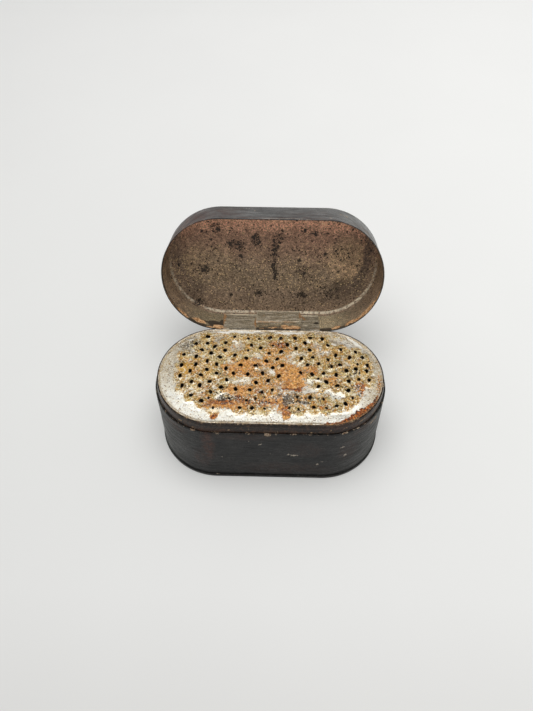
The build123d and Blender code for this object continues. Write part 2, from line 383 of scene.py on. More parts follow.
def japan_black(name, tone=1.0, gloss=0.34, spec=0.16):
    """Black japan over tin: brushed, crazed, with a painted grey sheen at the ends standing in for
    reflected surroundings, chipped to brown and bare metal where the wear attribute says."""
    m = Mat(name)
    big = m.noise(7.0, 3, 0.6)
    mid = m.noise(1.6, 4, 0.65)
    fine = m.noise(0.28, 3, 0.6)
    strk = m.noise(1.0, 4, 0.6, stretch=(0.25, 0.25, 3.0))
    grey = m.math("MULTIPLY", m.attr("grey"), m.step(mid, 0.3, 0.75, 0.45, 1.0))
    c = m.mix(m.step(big, 0.35, 0.7), tuple(tone * x for x in (0.0070, 0.0070, 0.0070)), tuple(tone * x for x in (0.0165, 0.0155, 0.0145)))
    c = m.mix(m.math("MULTIPLY", m.step(strk, 0.45, 0.75), 0.5), c, tuple(tone * x for x in (0.030, 0.029, 0.027)))
    # painted sheen: grey mixed in where grey says, standing in for reflected surroundings
    c = m.mix(grey, c, tuple(tone ** 0.75 * x for x in (0.056, 0.058, 0.051)))
    c = m.mix(m.math("MULTIPLY", m.attr("brown"), m.step(mid, 0.25, 0.7)), c, tuple(x * (1 + 0.3 * (tone - 1)) for x in (0.060, 0.023, 0.014)))
    specks = m.step(m.cells(1.9), 0.045, 0.085, 1.0, 0.0)
    specks = m.math("MULTIPLY", specks, m.step(m.noise(2.6, 1), 0.56, 0.60))
    c = m.mix(m.math("MULTIPLY", specks, 0.7), c, (0.16, 0.13, 0.09))
    wear = m.math("ADD", m.attr("wear"), m.math("MULTIPLY", m.math("SUBTRACT", mid, 0.5), 1.5))
    wear = m.math("ADD", wear, m.math("MULTIPLY", m.math("SUBTRACT", fine, 0.5), 0.9))
    c = m.gain(c, fine, 0.38, 0.62, 0.50, 1.65)
    c = m.gain(c, m.rcell(0.42), 0.0, 1.0, 0.72, 1.30)
    chip = m.step(wear, 0.60, 0.70)
    cc = m.mix(m.step(fine, 0.42, 0.6), (0.115, 0.060, 0.032), (0.42, 0.33, 0.24))
    c = m.mix(chip, c, cc)
    scr = m.noise(0.5, 2, 0.5, stretch=(0.12, 0.12, 2.4), dist=0.4)
    scr = m.step(scr, 0.66, 0.70)
    scr = m.math("MULTIPLY", scr, m.step(m.noise(5.0, 2), 0.5, 0.62))
    c = m.mix(m.math("MULTIPLY", scr, 0.35), c, (0.13, 0.115, 0.10))
    mark = m.step(m.math("ADD", m.attr("mark"), m.math("MULTIPLY", m.math("SUBTRACT", fine, 0.5), 2.0)), 0.58, 0.74)
    c = m.mix(mark, c, (0.36, 0.31, 0.25))
    r = m.math("ADD", gloss, m.math("MULTIPLY", m.math("SUBTRACT", mid, 0.4), 0.22))
    r = m.math("ADD", r, m.math("MULTIPLY", m.attr("grey"), 0.12 if tone < 1.5 else 0.02))
    r = m.math("ADD", r, m.math("MULTIPLY", m.attr("brown"), 0.0 if tone < 1.5 else 0.20))
    r = m.math("ADD", r, m.math("MULTIPLY", m.math("SUBTRACT", m.noise(1.2, 4, 0.7, stretch=(0.22, 0.22, 1.6)), 0.5), 0.9))
    r = m.math("ADD", r, m.math("MULTIPLY", chip, 0.3))
    lea = m.noise(0.62, 3, 0.6, stretch=(0.55, 0.55, 1.3), dist=0.6)
    hgt = m.math("ADD", m.math("MULTIPLY", mid, 0.5), m.math("MULTIPLY", strk, 0.45))
    hgt = m.math("ADD", hgt, m.math("MULTIPLY", lea, 0.55))
    n = m.bump(hgt, 0.075)
    n = m.bump(m.math("SUBTRACT", m.math("MULTIPLY", fine, 0.35), m.math("MULTIPLY", chip, 1.0)), 0.035, 1.0, n)
    return m.done(c, r, 0.0, n, spec=spec)


def collar_mat():
    m = Mat("japan_collar_worn")
    big = m.noise(4.0, 3, 0.6)
    mid = m.noise(0.9, 4, 0.65)
    fine = m.noise(0.22, 3, 0.6)
    ln = m.noise(0.8, 3, 0.6, stretch=(0.18, 0.18, 3.5))
    c = m.mix(m.step(big, 0.35, 0.7), (0.0065, 0.0048, 0.004), (0.020, 0.0105, 0.0065))
    c = m.mix(m.math("MULTIPLY", m.step(ln, 0.5, 0.64), 0.6), c, (0.060, 0.042, 0.028))
    c = m.gain(c, fine, 0.38, 0.62, 0.45, 1.7)
    red = m.math("MULTIPLY", m.attr("brown"), m.step(mid, 0.25, 0.65))
    c = m.mix(red, c, (0.075, 0.028, 0.014))
    w = m.math("ADD", m.attr("wear"), m.math("MULTIPLY", m.math("SUBTRACT", mid, 0.5), 1.5))
    w = m.math("ADD", w, m.math("MULTIPLY", m.math("SUBTRACT", fine, 0.5), 1.0))
    c = m.mix(m.math("MULTIPLY", m.step(mid, 0.52, 0.66), 0.7), c, (0.085, 0.040, 0.020))
    chip = m.step(w, 0.62, 0.74)
    cc = m.mix(m.step(fine, 0.4, 0.62), (0.15, 0.062, 0.022), (0.42, 0.31, 0.19))
    c = m.mix(chip, c, cc)
    r = m.math("ADD", 0.26, m.math("MULTIPLY", m.math("SUBTRACT", mid, 0.4), 0.25))
    r = m.math("ADD", r, m.math("MULTIPLY", chip, 0.3))
    n = m.bump(m.math("ADD", m.math("MULTIPLY", mid, 0.5), m.math("MULTIPLY", ln, 0.7)), 0.035)
    n = m.bump(m.math("SUBTRACT", m.math("MULTIPLY", fine, 0.3), chip), 0.03, 1.0, n)
    return m.done(c, r, 0.0, n, spec=0.20)


def plate_mat():
    """Bright tin, tarnished olive in the punched field, with rust."""
    m = Mat("tinned_grating")
    big = m.noise(3.4, 3, 0.6)
    mid = m.noise(0.95, 4, 0.65)
    fine = m.noise(0.36, 4, 0.72)
    grit = m.noise(0.16, 3, 0.7)
    field, rust, dark, crest = (m.attr(k) for k in ("field", "rust", "dark", "crest"))
    # tin with fine brown specks
    tin = m.mix(m.step(mid, 0.38, 0.72), (0.995, 0.975, 0.895), (0.88, 0.83, 0.70))
    rc1, rc2 = m.rcell(0.34), m.rcell(0.46)
    tin = m.gain(tin, grit, 0.36, 0.62, 0.83, 1.07)
    tin = m.gain(tin, rc1, 0.0, 0.35, 0.84, 1.05)
    # tan: tarnish in the field, and painted shade on the back margin and the ends
    tin = m.mix(m.math("MULTIPLY", m.attr("tan"), m.step(m.math("ADD", fine, m.math("MULTIPLY", rc1, 0.25)), 0.50, 0.66, 0.25, 1.0)), tin, (0.50, 0.385, 0.215))
    tin = m.mix(m.math("MULTIPLY", m.step(fine, 0.55, 0.68), 0.75), tin, (0.56, 0.47, 0.31))
    # grainy olive and gold tarnish
    g = m.math("ADD", m.math("MULTIPLY", rc1, 0.34), m.math("MULTIPLY", rc2, 0.26))
    g = m.math("ADD", g, m.step(fine, 0.36, 0.64, 0.0, 0.40))
    olive = m.ramp(g, [(0.14, (0.035, 0.020, 0.009)), (0.30, (0.185, 0.115, 0.030)), (0.47, (0.39, 0.265, 0.070)), (0.64, (0.61, 0.465, 0.170)), (0.80, (0.93, 0.85, 0.62))])
    golden = m.ramp(g, [(0.14, (0.045, 0.018, 0.005)), (0.30, (0.26, 0.110, 0.018)), (0.48, (0.53, 0.275, 0.048)), (0.66, (0.75, 0.46, 0.13)), (0.82, (0.94, 0.82, 0.52))])
    olive = m.mix(m.math("MULTIPLY", m.step(m.math("ADD", big, m.math("MULTIPLY", m.math("SUBTRACT", mid, 0.5), 1.2)), 0.43, 0.58), 0.85), olive, golden)
    t = m.math("ADD", field, m.math("MULTIPLY", m.math("SUBTRACT", mid, 0.5), 1.1))
    t = m.math("SUBTRACT", t, m.math("MULTIPLY", crest, 0.40))
    t = m.math("ADD", t, m.math("MULTIPLY", m.math("SUBTRACT", fine, 0.5), 1.6))
    tarn = m.step(t, 0.30, 0.80)
    c = m.mix(tarn, tin, olive)
    # orange rust
    q = m.math("ADD", rust, m.math("MULTIPLY", m.math("SUBTRACT", mid, 0.5), 1.1))
    q = m.math("ADD", q, m.math("MULTIPLY", m.math("SUBTRACT", fine, 0.5), 2.0))
    q = m.math("ADD", q, m.math("MULTIPLY", m.math("SUBTRACT", rc2, 0.5), 0.30))
    q = m.math("SUBTRACT", q, m.math("MULTIPLY", crest, 0.10))
    rm = m.step(q, 0.36, 0.66)
    rc = m.ramp(g, [(0.12, (0.10, 0.026, 0.005)), (0.26, (0.38, 0.125, 0.020)), (0.45, (0.60, 0.250, 0.047)), (0.66, (0.77, 0.390, 0.105)), (0.84, (0.89, 0.61, 0.28))])
    rc = m.mix(m.step(m.attr("deep"), 0.12, 0.62), rc, m.ramp(g, [(0.16, (0.010, 0.004, 0.002)), (0.36, (0.085, 0.016, 0.003)), (0.56, (0.36, 0.075, 0.006)), (0.72, (0.56, 0.160, 0.012)), (0.88, (0.74, 0.33, 0.05))]))
    rc = m.gain(rc, mid, 0.38, 0.62, 0.74, 1.12)
    c = m.mix(rm, c, rc)
    # dark stain
    d = m.math("ADD", dark, m.math("MULTIPLY", m.math("SUBTRACT", mid, 0.5), 1.0))
    d = m.math("ADD", d, m.math("MULTIPLY", m.math("SUBTRACT", fine, 0.5), 1.7))
    dm = m.step(d, 0.44, 0.66)
    c = m.mix(m.math("MULTIPLY", dm, 0.88), c, m.mix(m.step(rc1, 0.3, 0.7), (0.014, 0.011, 0.008), (0.115, 0.098, 0.078)))
    # brown specks on the tin, black ones in the field
    sp = m.step(m.cells(0.62), 0.20, 0.30, 1.0, 0.0)
    sp = m.math("MULTIPLY", sp, m.step(m.math("ADD", m.noise(1.5, 3), m.math("MULTIPLY", m.attr("tan"), 0.10)), 0.455, 0.52))
    sq = m.step(m.cells(0.60, 1.0), 0.24, 0.34, 1.0, 0.0)
    sq = m.math("MULTIPLY", sq, m.step(m.noise(0.85, 3, 0.7), 0.50, 0.57))
    sp = m.math("MAXIMUM", sp, sq)
    c = m.mix(m.math("MULTIPLY", sp, 0.85), c, m.mix(m.step(rc2, 0.3, 0.7), (0.17, 0.085, 0.028), (0.40, 0.24, 0.085)))
    am = m.step(m.cells(1.0, 1.0), 0.22, 0.36, 1.0, 0.0)
    am = m.math("MULTIPLY", am, m.math("MULTIPLY", m.step(field, 0.3, 0.6), m.step(m.math("ADD", m.noise(1.9, 3), m.math("MULTIPLY", m.attr("amber"), 0.12)), 0.47, 0.54)))
    aq = m.step(m.math("ADD", m.attr("amber"), m.math("MULTIPLY", m.math("SUBTRACT", fine, 0.5), 2.6)), 0.62, 0.86)
    c = m.mix(m.math("MULTIPLY", aq, 0.80), c, m.mix(m.step(rc1, 0.3, 0.7), (0.55, 0.27, 0.030), (0.80, 0.47, 0.085)))
    c = m.mix(m.math("MULTIPLY", am, 0.75), c, m.mix(m.step(rc1, 0.3, 0.7), (0.36, 0.145, 0.018), (0.64, 0.35, 0.070)))
    pk = m.step(m.cells(0.66, 1.0), 0.22, 0.32, 1.0, 0.0)
    pk = m.math("MULTIPLY", pk, m.math("MULTIPLY", m.step(m.math("MAXIMUM", field, rust), 0.2, 0.5), m.step(m.noise(1.5, 3), 0.47, 0.54)))
    c = m.mix(m.math("MULTIPLY", pk, 0.88), c, (0.035, 0.022, 0.013))
    # black pepper where the coating has burnt through
    bp = m.step(m.cells(0.74, 1.0), 0.30, 0.40, 1.0, 0.0)
    bp = m.math("MULTIPLY", bp, m.step(m.math("ADD", m.attr("pepper"), m.math("MULTIPLY", m.math("SUBTRACT", m.noise(0.9, 3), 0.5), 1.6)), 0.28, 0.38))
    c = m.mix(m.math("MULTIPLY", bp, 0.93), c, (0.010, 0.007, 0.005))
    # white glints of bare metal, with a painted highlight on the burr side that faces the back
    gl = m.math("MULTIPLY", m.step(m.math("ADD", m.noise(0.55, 4, 0.75), m.math("MULTIPLY", m.attr("ridge"), 0.050)), 0.562, 0.605), m.step(field, 0.2, 0.5))
    gl = m.math("MULTIPLY", gl, m.step(rust, 0.55, 0.9, 1.0, 0.25))
    c = m.mix(gl, c, (0.96, 0.90, 0.73))
    # painted highlight: diffuse white patches along the back lip and on burr ridges, with less metal
    lq = m.math("ADD", m.attr("lip"), m.math("MULTIPLY", m.math("SUBTRACT", fine, 0.5), 3.6))
    painted_white = m.step(m.math("ADD", lq, m.math("MULTIPLY", m.math("SUBTRACT", mid, 0.5), 1.6)), 0.58, 0.82)
    c = m.mix(painted_white, c, (0.90, 0.87, 0.78))
    gl = m.math("MAXIMUM", gl, m.math("MULTIPLY", painted_white, 0.35))
    e = m.step(m.math("ADD", m.attr("edge"), m.math("MULTIPLY", m.math("SUBTRACT", mid, 0.5), 0.9)), 0.42, 0.66)
    c = m.mix(m.math("MULTIPLY", e, 0.8), c, m.mix(m.step(fine, 0.4, 0.6), (0.13, 0.065, 0.028), (0.42, 0.29, 0.15)))
    # painted shade: hole edges and the flange below the plate drawn near black
    under = m.attr("under")
    c = m.mix(m.math("MULTIPLY", under, 0.9), c, (0.016, 0.012, 0.008))
    dull = m.math("MAXIMUM", m.math("MAXIMUM", m.math("MULTIPLY", tarn, 0.85), rm), m.math("MAXIMUM", dm, e))
    dull = m.math("MAXIMUM", dull, under)
    metal = m.math("SUBTRACT", 1.0, m.math("MULTIPLY", dull, 0.98), clamp=True)
    metal = m.math("MAXIMUM", metal, m.math("MULTIPLY", gl, 0.9))
    metal = m.math("MULTIPLY", metal, m.math("SUBTRACT", 1.0, m.math("MULTIPLY", painted_white, 0.7)))
    r = m.math("ADD", 0.36, m.math("MULTIPLY", m.math("SUBTRACT", mid, 0.3), 0.25))
    r = m.mixf(dull, r, 0.58)
    r = m.math("SUBTRACT", r, m.math("MULTIPLY", crest, 0.06), clamp=True)
    hgt = m.math("ADD", m.math("MULTIPLY", mid, 0.4), m.math("MULTIPLY", fine, 0.7))
    hgt = m.math("ADD", hgt, m.math("MULTIPLY", rm, 0.35))
    n = m.bump(hgt, 0.11)
    n = m.bump(m.math("ADD", m.math("MULTIPLY", grit, 0.7), m.math("MULTIPLY", sp, -0.6)), 0.04, 0.8, n)
    return m.done(c, r, metal, n, spec=0.4)


def lid_inside_nodes(m, reddish, painted_shade_band, pit, gold, painted_highlight_mask):
    mid = m.noise(1.1, 4, 0.65)
    big = m.noise(5.0, 3, 0.6)
    fine = m.noise(0.30, 4, 0.70)
    grit = m.noise(0.15, 3, 0.7)
    c = m.mix(m.step(big, 0.35, 0.7), (0.215, 0.150, 0.094), (0.300, 0.215, 0.138))
    c = m.mix(m.math("MULTIPLY", reddish, 0.95), c, m.mix(m.step(mid, 0.35, 0.65), (0.450, 0.240, 0.158), (0.580, 0.332, 0.220)))
    # painted light: brighter towards the far edge of the open lid and at its ends, where glow says
    c = m.gain(c, m.attr("glow"), 0.0, 1.0, 1.0, 1.70)
    # painted light: paler lacquer where the clear attribute marks lit patches inside the oval at the ends
    c = m.mix(m.math("MULTIPLY", m.attr("clear"), m.step(mid, 0.25, 0.6, 0.6, 1.0)), c, m.mix(m.step(mid, 0.35, 0.65), (0.375, 0.245, 0.140), (0.52, 0.350, 0.205)))
    # painted shade: darker band outside the pale oval, where the ring attribute says
    c = m.mix(m.math("MULTIPLY", painted_shade_band, 0.80), c, (0.290, 0.200, 0.142))
    # painted shade: darker corners and a crescent at the right end
    c = m.gain(c, m.attr("dusk"), 0.0, 1.0, 1.0, 0.58)
    r1, r2 = m.rcell(0.36), m.rcell(0.52)
    c = m.gain(c, fine, 0.36, 0.64, 0.56, 1.40)
    c = m.gain(c, r1, 0.0, 1.0, 0.74, 1.28)
    c = m.gain(c, r2, 0.0, 1.0, 0.84, 1.16)
    c = m.gain(c, mid, 0.30, 0.70, 0.90, 1.10)
    # gold flecks where the lacquer has gone
    gs = m.step(m.cells(0.56, 1.0), 0.22, 0.34, 1.0, 0.0)
    gate = m.math("ADD", m.math("MULTIPLY", gold, 0.15), m.noise(1.1, 3, 0.7))
    gm = m.math("MULTIPLY", gs, m.step(gate, 0.58, 0.63))
    c = m.mix(m.math("MULTIPLY", gm, 0.95), c, (0.80, 0.58, 0.30))
    # pits: clustered dots plus blotches
    ps = m.step(m.cells(0.80, 1.0), 0.26, 0.36, 1.0, 0.0)
    pg = m.math("ADD", m.math("MULTIPLY", pit, 0.42), m.math("MULTIPLY", m.math("SUBTRACT", m.noise(1.4, 3, 0.7), 0.5), 1.2))
    p1 = m.math("MULTIPLY", ps, m.step(pg, 0.100, 0.140))
    ps2 = m.step(m.cells(1.35, 1.0), 0.20, 0.30, 1.0, 0.0)
    p1 = m.math("MAXIMUM", p1, m.math("MULTIPLY", ps2, m.step(m.math("ADD", pit, m.math("MULTIPLY", m.math("SUBTRACT", mid, 0.5), 0.8)), 0.42, 0.52)))
    p = m.math("ADD", pit, m.math("MULTIPLY", m.math("SUBTRACT", m.noise(0.42, 4, 0.72), 0.5), 2.9))
    p = m.math("ADD", p, m.math("MULTIPLY", m.math("SUBTRACT", mid, 0.5), 0.9))
    pm = m.math("MAXIMUM", p1, m.step(p, 0.58, 0.65))
    c = m.mix(m.math("MULTIPLY", pm, 0.94), c, (0.013, 0.009, 0.006))
    # painted highlight: cream line along the inner corner fillet and strap tops, where painted_highlight_mask says
    c = m.mix(m.math("MULTIPLY", painted_highlight_mask, m.step(m.math("ADD", fine, m.math("MULTIPLY", mid, 0.4)), 0.50, 0.72, 0.35, 1.0)), c, (0.86, 0.76, 0.56))
    return c, mid, fine, grit, gm, pm


def lid_top_mat():
    m = Mat("lid_inside_lacquer")
    c, mid, fine, grit, gm, pm = lid_inside_nodes(m, m.attr("reddish"), m.attr("ring"), m.attr("pit"), m.attr("gold"), m.math("MULTIPLY", m.attr("light"), m.step(m.noise(0.8, 3), 0.35, 0.6)))
    r = m.math("ADD", 0.36, m.math("MULTIPLY", mid, 0.2))
    r = m.math("ADD", r, m.math("MULTIPLY", gm, 0.15))
    n = m.bump(m.math("ADD", mid, m.math("MULTIPLY", fine, 0.5)), 0.04)
    n = m.bump(m.math("SUBTRACT", m.math("MULTIPLY", grit, 0.4), m.math("MULTIPLY", pm, 1.2)), 0.04, 0.9, n)
    return m.done(c, r, 0.0, n, spec=0.45)


def lid_wall_in_mat():
    m = Mat("lid_wall_inside")
    c, mid, fine, grit, gm, pm = lid_inside_nodes(m, m.attr("reddish"), m.attr("ring"), m.attr("pit"), m.attr("gold"), m.math("MULTIPLY", m.attr("light"), 1.0))
    rr = m.rcell(0.34)
    ol = m.ramp(m.math("ADD", m.math("MULTIPLY", rr, 0.45), m.step(fine, 0.38, 0.62, 0.0, 0.55)), [(0.10, (0.075, 0.058, 0.032)), (0.5, (0.235, 0.190, 0.115)), (0.9, (0.42, 0.36, 0.24))])
    c = m.mix(m.math("MULTIPLY", m.attr("olive"), m.math("SUBTRACT", 1.0, gm)), c, ol)
    c = m.gain(c, m.attr("lift"), 0.0, 1.0, 1.0, 1.50)
    w = m.math("ADD", m.attr("rust"), m.math("MULTIPLY", m.math("SUBTRACT", mid, 0.5), 1.3))
    w = m.math("ADD", w, m.math("MULTIPLY", m.math("SUBTRACT", fine, 0.5), 1.2))
    rm = m.step(w, 0.50, 0.64)
    c = m.mix(rm, c, m.ramp(rr, [(0.0, (0.22, 0.085, 0.03)), (0.4, (0.52, 0.27, 0.11)), (0.9, (0.80, 0.53, 0.29))]))
    # dark band along the inner mouth, with painted shade in the hinge slot and beside the straps
    b = m.math("ADD", m.attr("rim"), m.math("MULTIPLY", m.math("SUBTRACT", mid, 0.5), 0.8))
    bm = m.math("MULTIPLY", m.step(b, 0.5, 0.8), m.math("SUBTRACT", 1.0, rm))
    c = m.mix(m.math("MULTIPLY", bm, 0.85), c, (0.018, 0.013, 0.010))
    r = m.math("ADD", 0.38, m.math("MULTIPLY", mid, 0.2))
    r = m.math("ADD", r, m.math("MULTIPLY", rm, 0.25))
    n = m.bump(m.math("ADD", mid, m.math("MULTIPLY", rm, 0.8)), 0.04)
    n = m.bump(m.math("SUBTRACT", m.math("MULTIPLY", grit, 0.4), m.math("MULTIPLY", pm, 1.0)), 0.035, 0.9, n)
    return m.done(c, r, 0.0, n, spec=0.45)


def strap_mat(name, tone=1.0):
    m = Mat(name)
    mid = m.noise(0.9, 4, 0.65)
    fine = m.noise(0.2, 3, 0.6)
    ln = m.noise(0.42, 3, 0.6, stretch=(0.12, 1.0, 1.0))
    big = m.noise(3.0, 2)
    c = m.mix(m.step(mid, 0.3, 0.7), tuple(tone * x for x in (0.265, 0.215, 0.135)), tuple(tone * x for x in (0.40, 0.345, 0.235)))
    c = m.mix(m.step(ln, 0.45, 0.60), c, tuple(tone * x for x in (0.58, 0.515, 0.40)))
    c = m.mix(m.math("MULTIPLY", m.step(ln, 0.34, 0.47, 1.0, 0.0), 0.75), c, (0.13, 0.10, 0.062))
    c = m.gain(c, fine, 0.38, 0.62, 0.66, 1.22)
    c = m.gain(c, m.rcell(0.34), 0.0, 1.0, 0.66, 1.24)
    c = m.gain(c, m.attr("fade"), 0.0, 1.0, 1.0, 0.62)
    c = m.mix(m.math("MULTIPLY", m.step(fine, 0.58, 0.66), 0.6), c, (0.07, 0.052, 0.03))
    w = m.math("ADD", m.attr("rust"), m.math("MULTIPLY", m.math("SUBTRACT", mid, 0.5), 1.3))
    w = m.math("ADD", w, m.math("MULTIPLY", m.math("SUBTRACT", fine, 0.5), 1.0))
    rm = m.step(w, 0.5, 0.68)
    c = m.mix(rm, c, m.mix(m.step(fine, 0.4, 0.6), (0.20, 0.085, 0.03), (0.50, 0.27, 0.11)))
    d = m.step(m.math("ADD", m.attr("dark"), m.math("MULTIPLY", m.math("SUBTRACT", fine, 0.5), 1.0)), 0.5, 0.7)
    c = m.mix(d, c, (0.018, 0.014, 0.010))
    # painted highlight: cream where light says
    c = m.mix(m.math("MULTIPLY", m.attr("light"), m.step(m.math("ADD", mid, m.math("MULTIPLY", fine, 0.5)), 0.50, 0.80)), c, (0.86, 0.77, 0.58))
    r = m.math("ADD", 0.40, m.math("MULTIPLY", mid, 0.2))
    n = m.bump(m.math("ADD", m.math("MULTIPLY", ln, 0.8), m.math("MULTIPLY", mid, 0.5)), 0.05)
    n = m.bump(fine, 0.02, 0.7, n)
    metal = m.math("MULTIPLY", m.math("SUBTRACT", 1.0, rm), 0.25)
    return m.done(c, r, metal, n, spec=0.45)


def wire_mat():
    m = Mat("iron_wire")
    mid = m.noise(0.5, 4, 0.65)
    fine = m.noise(0.15, 2)
    c = m.mix(m.step(mid, 0.4, 0.65), (0.30, 0.27, 0.22), (0.14, 0.075, 0.035))
    c = m.mix(m.step(fine, 0.55, 0.7), c, (0.06, 0.045, 0.035))
    return m.done(c, m.math("ADD", 0.38, m.math("MULTIPLY", mid, 0.25)), m.step(mid, 0.45, 0.65, 0.9, 0.15), m.bump(m.math("ADD", mid, fine), 0.03))


M_BODY = japan_black("japan_body_worn", tone=0.86)
M_COLLAR = collar_mat()
M_PLATE = plate_mat()
M_LIDTOP = lid_top_mat()
M_LIDIN = lid_wall_in_mat()
# painted sheen: the lid's outside is the body's japan drawn lighter (tone 1.65), standing in for reflected surroundings
M_LIDOUT = japan_black("japan_lid_worn", tone=1.65, gloss=0.30, spec=0.44)
M_STRAP = strap_mat("hinge_strap_worn", tone=0.93)
M_BRIDGE = strap_mat("hinge_bridge_worn", tone=1.10)
M_WIRE = wire_mat()
M_IN = Mat("bare_inside")
_n = M_IN.noise(1.2, 4)
M_IN = M_IN.done(M_IN.mix(M_IN.step(_n, 0.35, 0.65), (0.055, 0.045, 0.035), (0.11, 0.075, 0.045)), 0.6, 0.3, M_IN.bump(_n, 0.04))

ALL = ("wear", "grey", "brown", "mark")


def profile_piece(name, o, rows, attr_fn, disp=None, mats=(), mat_rows=None, lid=False, caps=(), row_closed=True, zmap=None):
    """Sweeps rows of (inset, z) round the outline into one closed skin."""
    P = []
    for i, (ins, z) in enumerate(rows):
        q = ring(o, ins, z)
        P.append(q)
    P = np.concatenate(P)
    n, k = o["n"], len(rows)
    ins = np.repeat([r[0] for r in rows], n)
    zz = np.repeat([r[1] for r in rows], n)
    ss = np.tile(o["ss"], k)
    nx, ny = np.tile(o["nx"], k), np.tile(o["ny"], k)
    base = P.copy()
    if zmap is not None:
        P[:, 2] = zmap(base, zz, ss)
    if disp is not None:
        d = disp(base, ins, zz, ss)
        P[:, 0] += d * nx
        P[:, 1] += d * ny
    faces = grid_faces(k, n, True, row_closed)
    fm = np.repeat(mat_rows if mat_rows is not None else [0] * (k if row_closed else k - 1), n)
    fm = list(fm)
    for rr, flip, mi in caps:
        f = list(range(rr * n, rr * n + n))
        faces.append(f[::-1] if flip else f)
        fm.append(mi)
    at = attr_fn(base, ins, zz, ss, nx, ny)
    return make(name, P, faces, at, lid=lid, mats=mats, face_mat=fm), P


# ------------------------------------------------------------------ base wall
arc = math.pi * R0
def s_back(x):
    return E0 + arc + (E0 - x)

NX0, NX1 = LEAF_X0 - 0.3, LEAF_X1 + 0.3
notch_s = [s_back(NX1) - 0.06, s_back(NX1) + 0.06, s_back(NX0) - 0.06, s_back(NX0) + 0.06]
SEAM_B = 3 * E0 + arc + math.radians(28) * R0          # lap on the back of the left end
SEAM_L = E0 + math.radians(90 + 38) * R0               # lap on the lid's right end
lap_b = [SEAM_B - 0.05, SEAM_B + 0.05, SEAM_B + 2.95, SEAM_B + 3.05]
o_wall = outline(0.42, notch_s + lap_b)


def in_notch(base):
    """1 across the hinge on the back wall."""
    return ((base[:, 1] > R0 * 0.6) & (base[:, 0] > NX0) & (base[:, 0] < NX1)).astype(float)


def lap_bump(ss, per, start, z, z0, z1, t=0.22):
    s = np.mod(ss, per)
    k = sstep(start - 0.05, start + 0.05, s) * (1 - sstep(start + 2.95, start + 3.05, s))
    return t * k * sstep(z0, z0 + 0.15, z) * (1 - sstep(z1 - 0.15, z1, z))


def wall_rows(i0, t, z0, z1, n, r=0.09):
    zs = np.linspace(z0, z1 - r, n)
    rows = [(i0, z) for z in zs]
    rows += [(i0 + r * 0.3, z1 - r * 0.3), (i0 + r, z1)]
    rows += [(i0 + t - r, z1), (i0 + t - r * 0.3, z1 - r * 0.3)]
    zi = np.linspace(z1 - r, z0, max(6, n // 3))
    rows += [(i0 + t, z) for z in zi]
    return rows


rows = wall_rows(0.0, 0.40, 0.27, LEDGE, 54)


def wall_zmap(base, zz, ss):
    lift = in_notch(base) * 0.4 * sstep(LEDGE - 2.5, LEDGE - 0.6, zz)
    wav = 0.05 * vnoise(base * [1, 1, 0], 9.0, 3) * sstep(LEDGE - 3, LEDGE, zz)
    return zz - lift + np.minimum(wav, 0.02)


def wall_disp(base, ins, zz, ss):
    out = (ins < 0.2)
    d = 0.10 * fbm(base, 13.0, 1, 2) + 0.025 * fbm(base, 3.5, 2, 3) * out
    d = d * sstep(0.3, 3.0, zz) * (1 - 0.7 * sstep(LEDGE - 2.0, LEDGE, zz)) - 0.03
    d = d + lap_bump(ss, o_wall["per"], SEAM_B, zz, PAN_H + 0.1, LEDGE - 0.3) * out
    # a few shallow knocks
    for s0, z0, r0, a in ((19.5, 12.5, 3.0, -0.09), (-24, 8, 4.0, -0.10), (6, 5.5, 3.5, -0.05), (-6, 16, 4.5, -0.05), (60, 10, 4.0, -0.10), (-55, 14, 4.5, -0.08)):
        d = d + a * np.exp(-((ss - s0) ** 2 + (zz - z0) ** 2) / (r0 * r0)) * out
    return d


